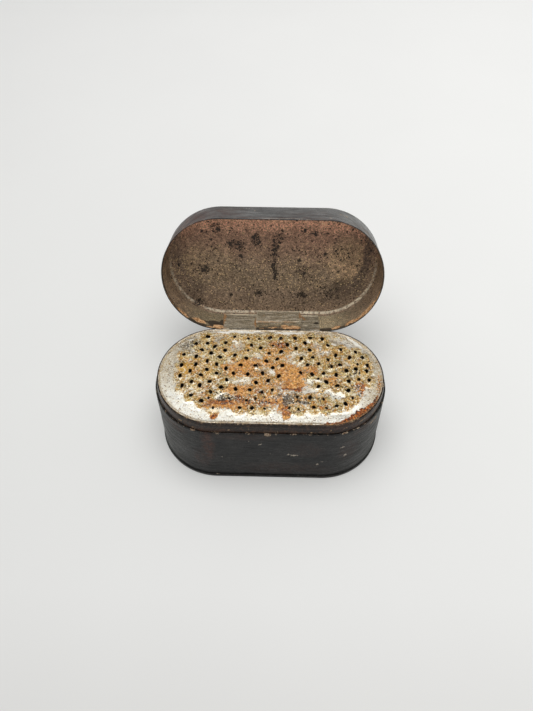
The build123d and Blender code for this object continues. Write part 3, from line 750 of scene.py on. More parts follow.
def wall_attr(base, ins, zz, ss, nx, ny):
    wx = 0.5 * fbm(base, 1.2, 31, 2)
    wy = 0.5 * fbm(base, 1.2, 41, 2)
    a = np.abs(ss)
    # painted sheen: the ends of the wall are greyed, standing in for reflected surroundings at grazing angles
    grey = sstep(17, 30, a) * (1 - 0.35 * sstep(48, 64, a)) * (0.65 + 0.5 * fbm(base, 6.0, 7, 3))
    grey = np.clip(grey, 0, 1)
    brown = blobs(ss, zz, [(-15.6, 16.5, 1.7, 7.5, 0.85), (-17.5, 9.0, 2.6, 4.5, 0.35), (-6.0, 20.5, 9.0, 1.6, 0.30), (10.0, 14.5, 4.5, 3.5, 0.22), (21.0, 13.0, 3.0, 5.0, 0.3), (4.0, 5.0, 12.0, 3.0, 0.25), (-25, 20.0, 4.0, 2.0, 0.5), (25, 20.5, 4.0, 1.5, 0.5)], (wx, wy))
    wear = blobs(ss, zz, [(-0.3, 21.8, 1.0, 0.75, 0.95), (-12.7, 21.9, 0.75, 0.5, 0.8), (-10.4, 21.8, 1.0, 0.35, 0.62), (-4.8, 21.9, 0.6, 0.45, 0.7), (1.9, 22.0, 0.6, 0.4, 0.7),
                          (-19.2, 21.9, 0.8, 0.5, 0.7), (16.3, 20.8, 0.3, 0.7, 0.7), (28.0, 20.4, 2.6, 0.9, 0.72), (9.0, 22.0, 3.0, 0.3, 0.58), (19.0, 22.0, 1.2, 0.4, 0.62),
                          (-27.0, 21.6, 1.8, 0.6, 0.6), (-70, 21.5, 2.5, 0.8, 0.7), (66, 21.5, 3, 0.8, 0.7), (45, 21.8, 2.5, 0.5, 0.62), (-45, 21.8, 3.5, 0.5, 0.62)], (wx * 0.5, wy * 0.5))
    edge = sstep(LEDGE - 0.35, LEDGE - 0.02, zz) * (0.42 + 0.25 * fbm(base, 2.2, 9, 2))
    wear = np.maximum(wear, edge)
    mark = blobs(ss, zz, [(-5.0, 18.6, 0.45, 0.35, 0.6), (-2.25, 17.0, 0.42, 0.5, 1.0), (-1.7, 17.8, 0.2, 0.2, 0.6), (4.9, 12.4, 0.5, 0.45, 0.72), (6.2, 11.9, 1.1, 0.55, 0.78, -12), (7.3, 12.0, 0.5, 0.5, 0.72),
                          (19.0, 15.2, 0.9, 0.45, 0.78, 20), (20.1, 10.6, 0.75, 0.6, 0.82, 30), (12.9, 7.4, 0.5, 0.7, 0.75), (14.1, 8.7, 0.6, 0.3, 0.68), (-12.3, 10.3, 0.25, 0.7, 0.68),
                          (0.2, 12.5, 0.7, 0.3, 0.55, 25), (-8.5, 6.5, 1.6, 0.22, 0.5), (-5.5, 6.3, 0.8, 0.2, 0.5), (-23.5, 18.0, 0.35, 0.6, 0.6, 20), (40, 9, 0.8, 0.5, 0.65), (-48, 12, 0.9, 0.4, 0.65), (58, 6, 0.5, 0.9, 0.65), (-66, 9, 1.1, 0.4, 0.6)], (wx * 0.35, wy * 0.35))
    foot = sstep(1.9, 1.3, zz) * 0.0
    return dict(wear=wear, grey=grey, brown=brown, mark=mark + foot)


n_out = 54 + 2
base_wall, _ = profile_piece("base_wall_skin", o_wall, rows, wall_attr, wall_disp, (M_BODY, M_IN),
                             [0] * (n_out + 1) + [1] * (len(rows) - n_out - 1), zmap=wall_zmap)
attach(base_wall, "body"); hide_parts("base_wall")

# ------------------------------------------------------------------ bottom pan
o_pan = outline(0.5)
po = -PAN_OUT
prow = [(3.0, 0.0), (0.9, 0.0), (0.35, 0.0)]
for a in (15, 35, 55, 75):
    t = math.radians(a)
    prow.append((po + 0.35 - 0.35 * math.sin(t), 0.35 - 0.35 * math.cos(t)))
prow += [(po, 0.40), (po, 0.6), (po, 0.85), (po + 0.01, PAN_H - 0.07), (po + 0.05, PAN_H - 0.01), (po + 0.10, PAN_H), (-0.045, PAN_H - 0.03), (-0.03, 0.6), (-0.02, 0.25), (0.5, 0.25), (3.0, 0.25)]


def pan_zmap(base, zz, ss):
    w = 0.10 * fbm(base * [1, 1, 0], 7.0, 51, 3) * sstep(0.6, PAN_H, zz)
    return zz + np.clip(w, -0.2, 0.12)


def pan_attr(base, ins, zz, ss, nx, ny):
    top = sstep(PAN_H - 0.30, PAN_H - 0.02, zz)
    front = 1 - sstep(20, 32, np.abs(ss))
    wear = top * (0.26 + 0.16 * front + 0.26 * fbm(base, 2.5, 61, 2)) + sstep(0.2, 0.0, zz) * (ins < 0.3) * 0.4
    a = np.abs(ss)
    # painted sheen: the ends of the pan are greyed like the wall's
    return dict(wear=wear, grey=sstep(18, 30, a) * 0.5, brown=0 * zz, mark=0 * zz)


pan, _ = profile_piece("base_bottom_skin", o_pan, prow, pan_attr, None, (M_BODY,), None,
                       caps=((0, True, 0), (len(prow) - 1, False, 0)), row_closed=False, zmap=pan_zmap)
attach(pan, "body"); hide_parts("base_bottom")

# ------------------------------------------------------------------ collar
o_col = outline(0.42, notch_s)
ci, ct = 0.40, 0.75
zc = np.linspace(LEDGE - 3.0, COLLAR - 0.08, 26)
crow = [(ci + (ct - ci) * max(0.0, (z - LEDGE) / (COLLAR - LEDGE)), z) for z in zc]
crow += [(ct + 0.015, COLLAR - 0.025), (ct + 0.07, COLLAR)]
crow += [(ct + 0.21, COLLAR), (ct + 0.28, COLLAR - 0.03)]
zi = np.linspace(COLLAR - 0.1, LEDGE - 3.0, 10)
crow += [(ci + 0.30 + (ct - ci) * max(0.0, (z - LEDGE) / (COLLAR - LEDGE)), z) for z in zi]


def col_zmap(base, zz, ss):
    k = in_notch(base)
    low = zz.min()
    cut = low + (zz - low) * (LEDGE - 0.4 - low) / (COLLAR - low)
    wav = 0.05 * fbm(base * [1, 1, 0], 8.0, 71, 2) * sstep(LEDGE, COLLAR, zz)
    return np.where(k > 0, cut, zz + np.minimum(wav, 0.0))


def col_disp(base, ins, zz, ss):
    k = in_notch(base)
    d = 0.05 * fbm(base, 7.0, 73, 3) - 0.03
    up = sstep(LEDGE, LEDGE + 0.5, zz)
    front = sstep(-R0 * 0.5, -R0 * 0.9, base[:, 1])
    # a softly rolled shoulder where the strip was burnished over the plate
    bulge = 0.05 * np.exp(-((zz - (COLLAR - 0.9)) / 0.5) ** 2)
    d = d * (0.3 + 0.7 * up) + bulge * up * (ins < 0.5 + (ct - ci))
    return d + k * (ci - ct) * 0 - 0.0 * front


def col_attr(base, ins, zz, ss, nx, ny):
    wx, wy = 0.4 * fbm(base, 1.0, 81, 2), 0.3 * fbm(base, 1.0, 83, 2)
    top = sstep(COLLAR - 0.16, COLLAR - 0.02, zz)
    foot = (1 - sstep(LEDGE + 0.15, LEDGE + 0.7, zz)) * sstep(LEDGE - 0.2, LEDGE, zz)
    wear = top * (0.48 + 0.3 * fbm(base, 2.0, 85, 2)) + foot * (0.34 + 0.35 * fbm(base, 2.4, 87, 2))
    wear = np.maximum(wear, blobs(ss, zz, [(15.2, 23.6, 0.5, 0.5, 0.78), (-10.0, 23.1, 0.5, 0.4, 0.75), (-4.9, 23.4, 0.4, 0.4, 0.7), (-19.0, 22.7, 0.7, 0.5, 0.8), (1.8, 22.7, 0.5, 0.4, 0.75),
                                          (10.6, 22.6, 0.6, 0.4, 0.7), (19.5, 23.4, 1.2, 0.3, 0.7), (-23, 23.4, 1.2, 0.5, 0.72), (24, 24.0, 2.0, 0.3, 0.7), (29, 23.2, 1.6, 0.4, 0.7), (-31, 23.0, 1.6, 0.4, 0.66)], (wx * 0.5, wy * 0.5)))
    brown = np.clip(blobs(ss, zz, [(17, 24, 7, 1.6, 0.30), (27, 23.8, 6, 1.6, 0.15), (-15, 22.8, 6, 0.8, 0.45), (2, 22.6, 9, 0.7, 0.4), (-28, 23.4, 5, 1.2, 0.3)], (wx, wy)), 0, 1)
    return dict(wear=wear, brown=brown)


n_co = 26 + 2
collar, _ = profile_piece("base_collar_skin", o_col, crow, col_attr, col_disp, (M_COLLAR, M_IN),
                          [0] * (n_co + 1) + [1] * (len(crow) - n_co - 1), zmap=col_zmap)
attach(collar, "body"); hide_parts("base_collar")


# ------------------------------------------------------------------ flat sheets by triangulation
def cdt_sheet(loop, inner, hole_loops=()):
    """Triangles over a closed loop with free points inside and holes cut out.
    Returns points in the order loop, holes, inner, and the faces."""
    pts = [tuple(p) for p in loop]
    edges = [(i, (i + 1) % len(loop)) for i in range(len(loop))]
    holes = []
    for hl in hole_loops:
        b = len(pts)
        pts += [tuple(p) for p in hl]
        edges += [(b + i, b + (i + 1) % len(hl)) for i in range(len(hl))]
        holes.append((b, len(hl)))
    pts += [tuple(p) for p in inner]
    v, e, f, vo, eo, fo = delaunay_2d_cdt([Vector(p) for p in pts], edges, [], 1, 1e-5)
    v = np.array([tuple(p) for p in v])
    back = {}
    for i, src in enumerate(vo):
        for s in src:
            back[s] = i
    order = [back[i] for i in range(len(pts))]
    remap = {j: i for i, j in enumerate(order)}
    f = np.array([[remap[a] for a in t] for t in f])
    P = np.array(pts)
    c = P[f].mean(1)
    keep = np.ones(len(f), bool)
    for b, n in holes:
        hc = P[b:b + n].mean(0)
        ids = set(range(b, b + n))
        near = np.where(np.hypot(*(c - hc).T) < 1.2)[0]
        for k in near:
            if all(int(a) in ids for a in f[k]):
                keep[k] = False
    return P, f[keep], holes


def hexgrid(step, inset):
    r = R0 - inset
    xs = np.arange(-(E0 + r), E0 + r + step, step)
    ys = np.arange(-r, r + step, step * 0.866)
    P = []
    for j, y in enumerate(ys):
        P.append(np.stack([xs + (step / 2 if j % 2 else 0), np.full(len(xs), y)], -1))
    P = np.concatenate(P)
    sx = np.maximum(np.abs(P[:, 0]) - E0, 0)
    return P[np.hypot(sx, P[:, 1]) < r]


def edge_dist(P):
    """How far a plan point lies inside the wall's outline."""
    return R0 - np.hypot(np.maximum(np.abs(P[:, 0]) - E0, 0), P[:, 1])


# ------------------------------------------------------------------ grating
STEP = 0.26
o_pl = outline(0.36)
loop = ring(o_pl, PLATE_IN + 0.42, 0)[:, :2]
G = hexgrid(STEP, PLATE_IN + 0.42 + STEP * 0.7)
jx = (_h(np.arange(len(G)), np.arange(len(G)) * 0, np.arange(len(G)) * 0, 3) - 0.5) * STEP * 0.25
jy = (_h(np.arange(len(G)), np.arange(len(G)) * 0 + 1, np.arange(len(G)) * 0, 4) - 0.5) * STEP * 0.25
G = G + np.stack([jx, jy], -1)
hole_loops, rings2 = [], []
hr = []
for k, (x, y, r) in enumerate(HOLES):
    n = 14
    a = np.arange(n) * 2 * math.pi / n + rnd(1, k + 11)[0] * 6.28
    jag = 1 + 0.16 * (rnd(n, 100 + k) - 0.5) * 2 + 0.13 * np.cos(2 * a + rnd(1, k + 77)[0] * 6.28) + 0.06 * np.cos(4 * a + rnd(1, k + 99)[0] * 6.28)
    rr = r * 1.17 * jag
    hole_loops.append(np.stack([x + rr * np.cos(a), y + rr * np.sin(a)], -1))
    for add in (0.09, 0.20, 0.36):
        b = a + (0.22 if add != 0.20 else 0.0)
        rings2.append(np.stack([x + (rr + add) * np.cos(a), y + (rr + add) * np.sin(a)], -1))
    hr.append(r)
H = np.array([(x, y, r) for x, y, r in HOLES])
d2 = np.hypot(G[:, None, 0] - H[None, :, 0], G[:, None, 1] - H[None, :, 1])
G = G[(d2 > H[None, :, 2] * 1.17 + 0.46).all(1)]
R2 = np.concatenate(rings2)
d2 = np.hypot(R2[:, None, 0] - H[None, :, 0], R2[:, None, 1] - H[None, :, 1])
own = np.repeat(np.arange(len(H)), 42)
d2[np.arange(len(R2)), own] = 9
R2 = R2[(d2 > H[None, :, 2] * 1.36 + 0.16).all(1)]
P2, F2, HL = cdt_sheet(loop, np.concatenate([R2, G]), hole_loops)

# heights over the plan
P3 = np.concatenate([P2, np.zeros((len(P2), 1))], 1)
dist = np.hypot(P2[:, None, 0] - H[None, :, 0], P2[:, None, 1] - H[None, :, 1])
near = dist.min(1)
who = dist.argmin(1)
ed = edge_dist(P2)
# the punched field stands proud of the flat margin, with a scalloped border
fieldmask = 1 - sstep(1.25, 2.6, near + 0.35 * fbm(P3, 1.1, 90, 2))
swell = sstep(3.4, 9.5, ed + 0.0)
z = PLATE_Z + 0.06 + 0.22 * swell
z = z + 0.12 * fieldmask
ang = np.arctan2(P2[:, 1] - H[who, 1], P2[:, 0] - H[who, 0])
lean = rnd(len(H), 301)[who] * 6.28
amp = (0.17 + 0.20 * rnd(len(H), 302))[who] * np.where(H[who, 2] < 0.35, 0.55, 1.0)
burr = np.zeros(len(P2))
for k in range(dist.shape[1]):
    q = dist[:, k] - H[k, 2]
    m_ = q < 1.3
    if m_.any():
        a = np.arctan2(P2[m_, 1] - H[k, 1], P2[m_, 0] - H[k, 0])
        ampk = (0.13 + 0.19 * rnd(1, 302 + k)[0]) * (0.55 if H[k, 2] < 0.35 else 1.0)
        ln_ = 1 + 0.40 * np.cos(a - rnd(1, 901 + k)[0] * 6.28) + 0.30 * np.sin(a)
        hgt = ampk * ln_ * np.exp(-(np.maximum(q[m_], 0) / 0.33) ** 1.5) + 0.10 * np.exp(-(np.maximum(q[m_], 0) / 0.8) ** 2)
        burr[m_] = np.maximum(burr[m_], hgt)
jagz = 0.06 * (2 * _h(np.arange(len(P2)), np.arange(len(P2)) * 0, np.arange(len(P2)) * 0, 8) - 1) * (near < H[who, 2] * 1.4)
z = z + burr + jagz * (burr > 0.1)
z = z + 0.055 * fbm(P3, 2.3, 91, 3) * (0.25 + 0.75 * fieldmask) + 0.03 * fbm(P3, 7.0, 93, 2)
wx, wy = 0.9 * fbm(P3, 2.0, 95, 3), 0.9 * fbm(P3, 2.0, 97, 3)
# a dent in the front margin towards the right-front edge
z = z - 0.10 * np.exp(-(((P2[:, 0] - 18.5) / 5) ** 2 + ((P2[:, 1] + 11.3) / 1.2) ** 2))
rust = blobs(P2[:, 0], P2[:, 1], [
    (-4.0, 1.5, 9.5, 4.2, 0.72, 8), (1.0, -6.0, 13.0, 5.0, 0.60, -2), (2.5, 7.0, 4.5, 4.0, 0.60), (-9.5, -9.5, 8.0, 1.8, 0.82), (-6.5, 2.6, 6.0, 2.7, 0.90, 14), (5.0, 0.3, 4.6, 3.6, 1.0), (6.0, -3.4, 3.8, 2.4, 1.0), (-10.5, 1.6, 3.2, 1.7, 0.72), (-2.0, -3.4, 4.5, 2.2, 0.66), (-8.0, -5.3, 4.2, 2.6, 0.84),
    (-13.0, -9.4, 4.2, 2.0, 0.86), (-7.5, -9.0, 3.6, 1.8, 0.78), (3.3, -9.7, 2.2, 2.6, 0.92), (-0.5, -8.5, 2.6, 2.2, 0.74), (4.0, -12.0, 1.1, 2.2, 1.3), (-17.0, -7.2, 2.6, 1.2, 0.62),
    (1.6, 9.7, 2.6, 1.5, 0.72), (-0.6, 7.0, 2.0, 2.4, 0.66), (10.8, 1.7, 2.3, 2.0, 0.76), (15.6, -1.0, 2.4, 1.5, 0.70), (16.4, -2.6, 2.0, 1.2, 0.6), (-22.0, 1.5, 2.2, 1.8, 0.52), (-19.5, 0.5, 1.4, 1.6, 0.56),
    (-16.5, -4.8, 1.6, 1.2, 0.62), (10.5, 9.2, 4.0, 1.8, 0.42), (7.5, -8.7, 2.4, 1.5, 0.5), (13.5, -9.6, 4.5, 1.7, 0.46), (22.8, -4.3, 1.8, 2.6, 0.62), (27.6, -2.2, 0.8, 3.2, 0.55), (-8.0, 9.0, 4.5, 1.7, 0.40),
    (17, 6.0, 5.5, 3.0, 0.36), (-13.8, -13.0, 0.80, 0.95, 1.0), (19.5, -9.5, 3.0, 1.2, 0.4), (-20.5, 3.2, 2.6, 2.0, 0.44)], (wx, wy))
rust = np.maximum(rust, blobs(P2[:, 0], P2[:, 1], [(-13.8, -13.0, 0.62, 0.78, 1.3)]))
eg = np.exp(-((ed - 1.35) / 0.55) ** 2)
rx = np.where((P2[:, 1] < 0) & (P2[:, 0] > 13.0), 1.0, 0.0) * sstep(13.2, 15.0, P2[:, 0]) * (1 - sstep(27.0, 28.6, P2[:, 0]))
wid = PLATE_IN + 0.62 + 1.15 * np.exp(-((P2[:, 0] - 21.8) / 3.0) ** 2) + 0.85 * fbm(P3, 0.9, 99, 3)
edge_rust = rx * (1 - sstep(wid - 0.12, wid + 0.14, ed)) * 1.1
rust = np.maximum(rust, 1.25 * edge_rust)
deep = np.clip(edge_rust * (1.05 + 0.9 * (1 - sstep(PLATE_IN, PLATE_IN + 0.9, ed))), 0, 1)
deep = np.maximum(deep, blobs(P2[:, 0], P2[:, 1], [(-13.8, -13.0, 0.7, 0.8, 0.62), (4.0, -10.8, 1.5, 2.2, 0.60), (-12.0, -8.8, 4.5, 1.3, 0.50), (-9.0, -7.4, 4.0, 0.8, 0.60), (-3.0, -8.6, 6.0, 1.1, 0.50), (13.0, -9.6, 4.5, 1.3, 0.50), (22.8, -4.3, 1.8, 2.4, 0.60), (2.4, 9.2, 2.4, 1.3, 0.58), (-22.0, 1.5, 2.0, 1.8, 0.40), (5.8, -4.6, 4.0, 0.9, 0.55), (-16.0, -5.6, 1.6, 1.0, 0.5), (-2.8, -5.8, 1.4, 0.9, 0.7), (10.5, 1.0, 1.8, 1.0, 0.4)], (wx, wy)))
dark = blobs(P2[:, 0], P2[:, 1], [(4.8, -8.1, 1.5, 1.5, 1.0), (0.0, 10.6, 17.0, 1.5, 0.36), (8.3, -8.3, 1.8, 0.8, 0.78), (6.8, -7.0, 1.6, 1.0, 0.62), (2.3, -7.0, 1.4, 1.0, 0.5), (-12.2, -7.7, 1.7, 0.8, 0.75), (-9.8, -7.4, 1.5, 0.6, 0.6),
                                  (22.0, 0.6, 0.6, 1.0, 0.66), (15.6, 2.6, 0.7, 0.7, 0.6), (-3.2, 3.0, 0.8, 0.7, 0.55), (-2.4, -5.4, 0.8, 0.7, 0.66), (-21.8, 9.6, 3.4, 2.3, 0.60), (-13.5, 11.8, 3.0, 1.2, 0.40), (1.0, 12.0, 9.0, 0.9, 0.36), (-26.0, -1.0, 1.2, 4.0, 0.34)], (wx, wy))
pale = blobs(P2[:, 0], P2[:, 1], [(-13.9, -11.4, 1.6, 0.55, 1.3), (-1.6, 1.2, 2.4, 1.1, 0.9, -18), (0.6, 0.1, 1.3, 0.8, 0.9), (-7.5, -2.4, 4.0, 0.8, 0.75, 8), (11.5, -1.9, 2.4, 0.6, 0.8), (10.0, -4.7, 2.5, 0.7, 0.8), (4.5, -5.6, 3.5, 0.8, 0.6), (8.0, 3.2, 1.2, 0.9, 0.5), (7.0, 6.5, 3.6, 0.7, 0.5),
                                  (-20.3, 5.8, 2.4, 0.7, 0.55), (-9.5, 10.8, 1.2, 0.6, 0.6), (13.5, 10.9, 0.8, 0.5, 0.6), (16.2, 10.6, 0.7, 0.5, 0.6), (20, -6.0, 3.5, 0.8, 0.5), (-17, -3.5, 3.0, 0.9, 0.45), (-6, 6.2, 2.4, 0.6, 0.45)], (wx * 1.3, wy * 1.1))
back_t = sstep(8.0, 12.5, P2[:, 1]) * 0.18
field = np.clip(fieldmask * 0.95 - 0.50 * pale + back_t + 0.10 * fbm(P3, 4.0, 96, 2), 0, 1)
field = np.maximum(field, sstep(10.0, 13.0, P2[:, 1]) * 0.62 * sstep(0.5, 1.6, ed - 1.0))
field = np.maximum(field, 0.60 * blobs(P2[:, 0], P2[:, 1], [(0, 2.5, 25.0, 11.0, 1.0)], (wx * 0.6, wy * 0.6)))
rust = np.maximum(rust, 0.20 * np.clip(fieldmask + 0.3 * blobs(P2[:, 0], P2[:, 1], [(-20.5, 3.5, 3.5, 3.5, 1.0), (-9, -8.5, 9, 3.0, 1.0), (22.5, -4, 3, 4, 1.0), (12, 9, 5, 2, 0.8)], (wx, wy)), 0, 1.4))
rust = np.clip(rust - 0.40 * pale, 0, 1.3)
rust = np.where(np.hypot(P2[:, 0] + 13.8, P2[:, 1] + 12.95) < 0.84, 1.7, rust)
# painted highlight: white patches along the back and right-back lip and between holes, brighter along the back
painted_lip_highlight_mask = blobs(P2[:, 0], P2[:, 1], [(-9.0, 14.1, 6.8, 0.5, 1.0), (4.6, 14.2, 4.6, 0.45, 0.9), (22.3, 11.0, 3.6, 0.42, 0.85, -42), (26.6, 6.2, 2.2, 0.36, 0.6, -66), (10.0, 10.8, 0.9, 0.5, 0.7), (16.5, 10.0, 1.4, 0.4, 0.7), (-22.5, 10.3, 2.5, 0.4, 0.5, 32), (-10.0, 10.8, 1.0, 0.5, 0.8), (-20.5, 6.0, 1.8, 0.4, 0.6), (7.5, 6.4, 2.2, 0.5, 0.7), (12.0, -2.0, 1.8, 0.4, 0.9), (10.0, -5.2, 2.2, 0.5, 0.9), (0.3, 0.7, 1.1, 0.9, 1.0), (-7.0, -2.4, 2.8, 0.4, 0.8, 8), (-20, -6.6, 0.8, 0.5, 0.7), (-14.0, -4.4, 0.9, 0.4, 0.7)], (wx * 0.8, wy * 0.7))
painted_lip_highlight_mask = painted_lip_highlight_mask * np.where(P2[:, 1] < 9.0, 0.88, 1.35)
pepper = blobs(P2[:, 0], P2[:, 1], [(4.9, -8.0, 1.9, 1.7, 1.0), (8.4, -8.2, 2.2, 1.1, 0.85), (6.6, -6.6, 2.2, 1.3, 0.70), (1.9, -7.6, 2.0, 1.4, 0.5), (-12.0, -7.7, 2.4, 1.0, 0.6), (-3.0, -5.6, 1.3, 1.0, 0.7), (22.2, 0.9, 1.2, 1.2, 0.85), (9.0, -0.6, 1.2, 1.0, 0.55), (17.0, 3.0, 2.0, 2.0, 0.42), (-14.5, 8.2, 1.6, 1.0, 0.55), (23.0, -6.0, 2.0, 1.4, 0.40), (-4, -8.2, 7, 1.8, 0.46), (12, -6.5, 6, 1.8, 0.46), (-14, -6.0, 5, 2.2, 0.44), (20, -2, 4, 5, 0.40), (-2.5, 3.0, 1.4, 1.2, 0.6), (14.5, -1.0, 1.6, 1.3, 0.55), (-16, 9, 5, 2, 0.36), (3.5, 9.5, 3, 1.5, 0.40)], (wx, wy))
pepper = np.maximum(pepper, 0.85 * edge_rust)
# painted highlight: the burr side that faces the back, stronger in front and at the left end, biases the glints
ridge = np.clip(sstep(0.35, 0.9, near - H[who, 2]) * (1 - sstep(1.3, 2.2, near - H[who, 2])) * (0.45 + 0.55 * np.cos(ang - math.pi / 2)), 0, 1) * np.clip(0.35 + 0.9 * sstep(-1, -8, P2[:, 1]) + 0.6 * sstep(-10, -20, P2[:, 0]), 0, 1)
amber = blobs(P2[:, 0], P2[:, 1], [(-21.8, 1.4, 2.6, 2.2, 1.0), (-19.0, 3.6, 2.2, 1.4, 0.7), (-22.0, -3.0, 1.2, 2.6, 0.6), (-12.0, -10.8, 5.0, 1.0, 0.55), (12.0, -9.8, 5.0, 1.0, 0.6), (22.0, -5.0, 2.4, 2.6, 0.6), (-17.0, -5.0, 2.4, 1.6, 0.6), (14.0, 9.0, 4.0, 1.6, 0.4)], (wx, wy))
# tarnish over the field, and painted shade on the back margin, the ends and near the edge
tan = np.clip(sstep(21, 27, P2[:, 0]) * 0.8 + sstep(8, 12, P2[:, 1]) * 0.7 + 0.70 * sstep(-19, -26, P2[:, 0]) * sstep(-8, 1, P2[:, 1]) + 0.75 * np.exp(-((ed - 1.2) / 0.5) ** 2), 0, 1)
tan = np.maximum(tan, blobs(P2[:, 0], P2[:, 1], [(-21.5, 9.5, 3.5, 2.6, 0.9), (-24, 5, 2.5, 3.5, 0.5)], (wx, wy)))
tan = np.maximum(tan, 0.75 * fieldmask)
tan = tan * (1 - 0.65 * blobs(P2[:, 0], P2[:, 1], [(-9.0, 13.6, 6.5, 0.7, 1.0), (5.0, 13.7, 4.5, 0.6, 0.9), (19.5, 11.0, 4.2, 0.8, 1.0, -32), (24.5, 6.5, 2.2, 0.7, 0.8, -55)], (wx * 0.4, wy * 0.4)))
hole_ids = np.concatenate([np.arange(b_, b_ + n_) for b_, n_ in HL])
crest = np.clip(burr / 0.24, 0, 1) * (near > H[who, 2] * 0.9)
# crests catch more wear on the side that faces the front
crest = crest * (0.35 + 0.40 * np.cos(ang + math.pi / 2 - 0.4 + 0.8 * (rnd(len(H), 77)[who] - 0.5)))
edge = np.exp(-((ed - (PLATE_IN + 0.10)) / 0.30) ** 2)

nl = len(loop)
zl = z[:nl].mean()
# sheet is closed by solidify; the margin turns up into a bead and down the flange
rows_e = [(PLATE_IN + 0.34, PLATE_Z + 0.085), (PLATE_IN + 0.27, PLATE_Z + 0.135), (PLATE_IN + 0.19, PLATE_Z + 0.15), (PLATE_IN + 0.10, PLATE_Z + 0.13), (PLATE_IN + 0.03, PLATE_Z + 0.06), (PLATE_IN + 0.0, PLATE_Z - 0.06),
          (PLATE_IN + 0.0, PLATE_Z - 0.5), (PLATE_IN + 0.0, PLATE_Z - 1.2), (PLATE_IN + 0.0, PLATE_Z - 2.1)]
ringP, zw = [], 0.03 * fbm(np.concatenate([loop, np.zeros((nl, 1))], 1), 5.0, 94, 2)
for ii, (ins, zz) in enumerate(rows_e):
    q = ring(o_pl, ins, zz)
    q[:, 2] += zw * (1 if ii < 6 else 0)
    ringP.append(q)
ringP = np.concatenate(ringP)
top_pts = np.concatenate([P2, z[:, None]], 1)
top_pts[:nl, 2] = PLATE_Z + 0.05 + zw
nP = len(top_pts)
F = [tuple(t) for t in F2]
# orient every triangle upwards
tp = top_pts[:, :2]
F = [t if np.cross(tp[t[1]] - tp[t[0]], tp[t[2]] - tp[t[0]]) > 0 else t[::-1] for t in F]
FR = []
first = list(range(nl))
for rI in range(len(rows_e)):
    nxt = [nP + rI * nl + j for j in range(nl)]
    for j in range(nl):
        k = (j + 1) % nl
        FR.append((first[j], nxt[j], nxt[k], first[k]))
    first = nxt
allP = np.concatenate([top_pts, ringP])
nR = len(ringP)
ze = np.repeat([r[1] for r in rows_e], nl)


def ext(v, val):
    return np.concatenate([v, val if isinstance(val, np.ndarray) else np.full(nR, float(val))])


re_ss = np.tile(o_pl["ss"], len(rows_e))
rxr = sstep(12.5, 14.5, ringP[:, 0]) * (1 - sstep(26, 28, ringP[:, 0])) * (ringP[:, 1] < 0)
at = dict(field=ext(field, 0.0), rust=ext(rust, np.clip(rxr * 1.2, 0, 1.2)), dark=ext(dark, 0.0), spot=ext(rust * 0, 0.0), crest=ext(crest, 0.0), lip=ext(painted_lip_highlight_mask, 0.0), pepper=ext(pepper, np.clip(rxr * 0.8, 0, 1)), ridge=ext(ridge, 0.0), amber=ext(amber, 0.0),
          # under: painted shade on the hole loops and down the flange
          deep=ext(deep, rxr), tan=ext(tan, 0.6), edge=ext(edge, np.where(ze > PLATE_Z + 0.12, 0.50, 0.85)), under=ext(0.9 * np.isin(np.arange(len(P2)), hole_ids), sstep(PLATE_Z - 0.3, PLATE_Z - 0.8, ze)))
M_HOLE = Mat("hole_shadow")
_n = M_HOLE.noise(0.3, 3)
M_HOLE = M_HOLE.done(M_HOLE.mix(M_HOLE.step(_n, 0.35, 0.65), (0.008, 0.006, 0.004), (0.026, 0.017, 0.010)), 0.7, 0.0, None, spec=0.1)
grating = make("grating_plate", allP, F + FR, at, mats=(M_PLATE, M_IN, M_HOLE), sharp=60)
sol = grating.modifiers.new("sheet", "SOLIDIFY")
sol.thickness = 0.26 * MM
sol.offset = -1
sol.use_even_offset = False
sol.material_offset = 1
sol.material_offset_rim = 2
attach(grating, "body"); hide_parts("grater_plate")

# ------------------------------------------------------------------ lid wall
lap_l = [SEAM_L - 0.05, SEAM_L + 0.05, SEAM_L + 2.95, SEAM_L + 3.05]
o_lid = outline(0.42, lap_l)
LW1 = LTOP - 0.45
zo = np.concatenate([[RIM + 0.07, RIM + 0.14, RIM + 0.22, RIM + 0.34], np.linspace(RIM + 0.5, LW1, 30)])
lrow = [(LID_IN, z_) for z_ in zo]
n_lo = len(lrow)
lrow += [(LID_IN + LID_T, LW1)]
zi = np.concatenate([np.linspace(LW1 - 0.4, RIM + 0.5, 24), [RIM + 0.34, RIM + 0.22, RIM + 0.14, RIM + 0.07]])
lrow += [(LID_IN + LID_T, z_) for z_ in zi]
lrow += [(LID_IN + LID_T - 0.02, RIM + 0.02), (LID_IN + LID_T - 0.07, RIM), (LID_IN + 0.07, RIM), (LID_IN + 0.02, RIM + 0.02)]


def lid_disp(base, ins, zz, ss):
    d = 0.07 * fbm(base, 12.0, 111, 2) - 0.035
    out = ins < 0.15
    d = d + 0.02 * fbm(base, 3.0, 113, 3) * np.where(out, 1, 0.4)
    d = d * sstep(RIM - 0.01, RIM + 1.5, zz) * (1 - sstep(LW1 - 1.5, LW1, zz))
    d = d + lap_bump(ss, o_lid["per"], SEAM_L, zz, RIM + 0.4, LTOP - 0.9) * out
    return d


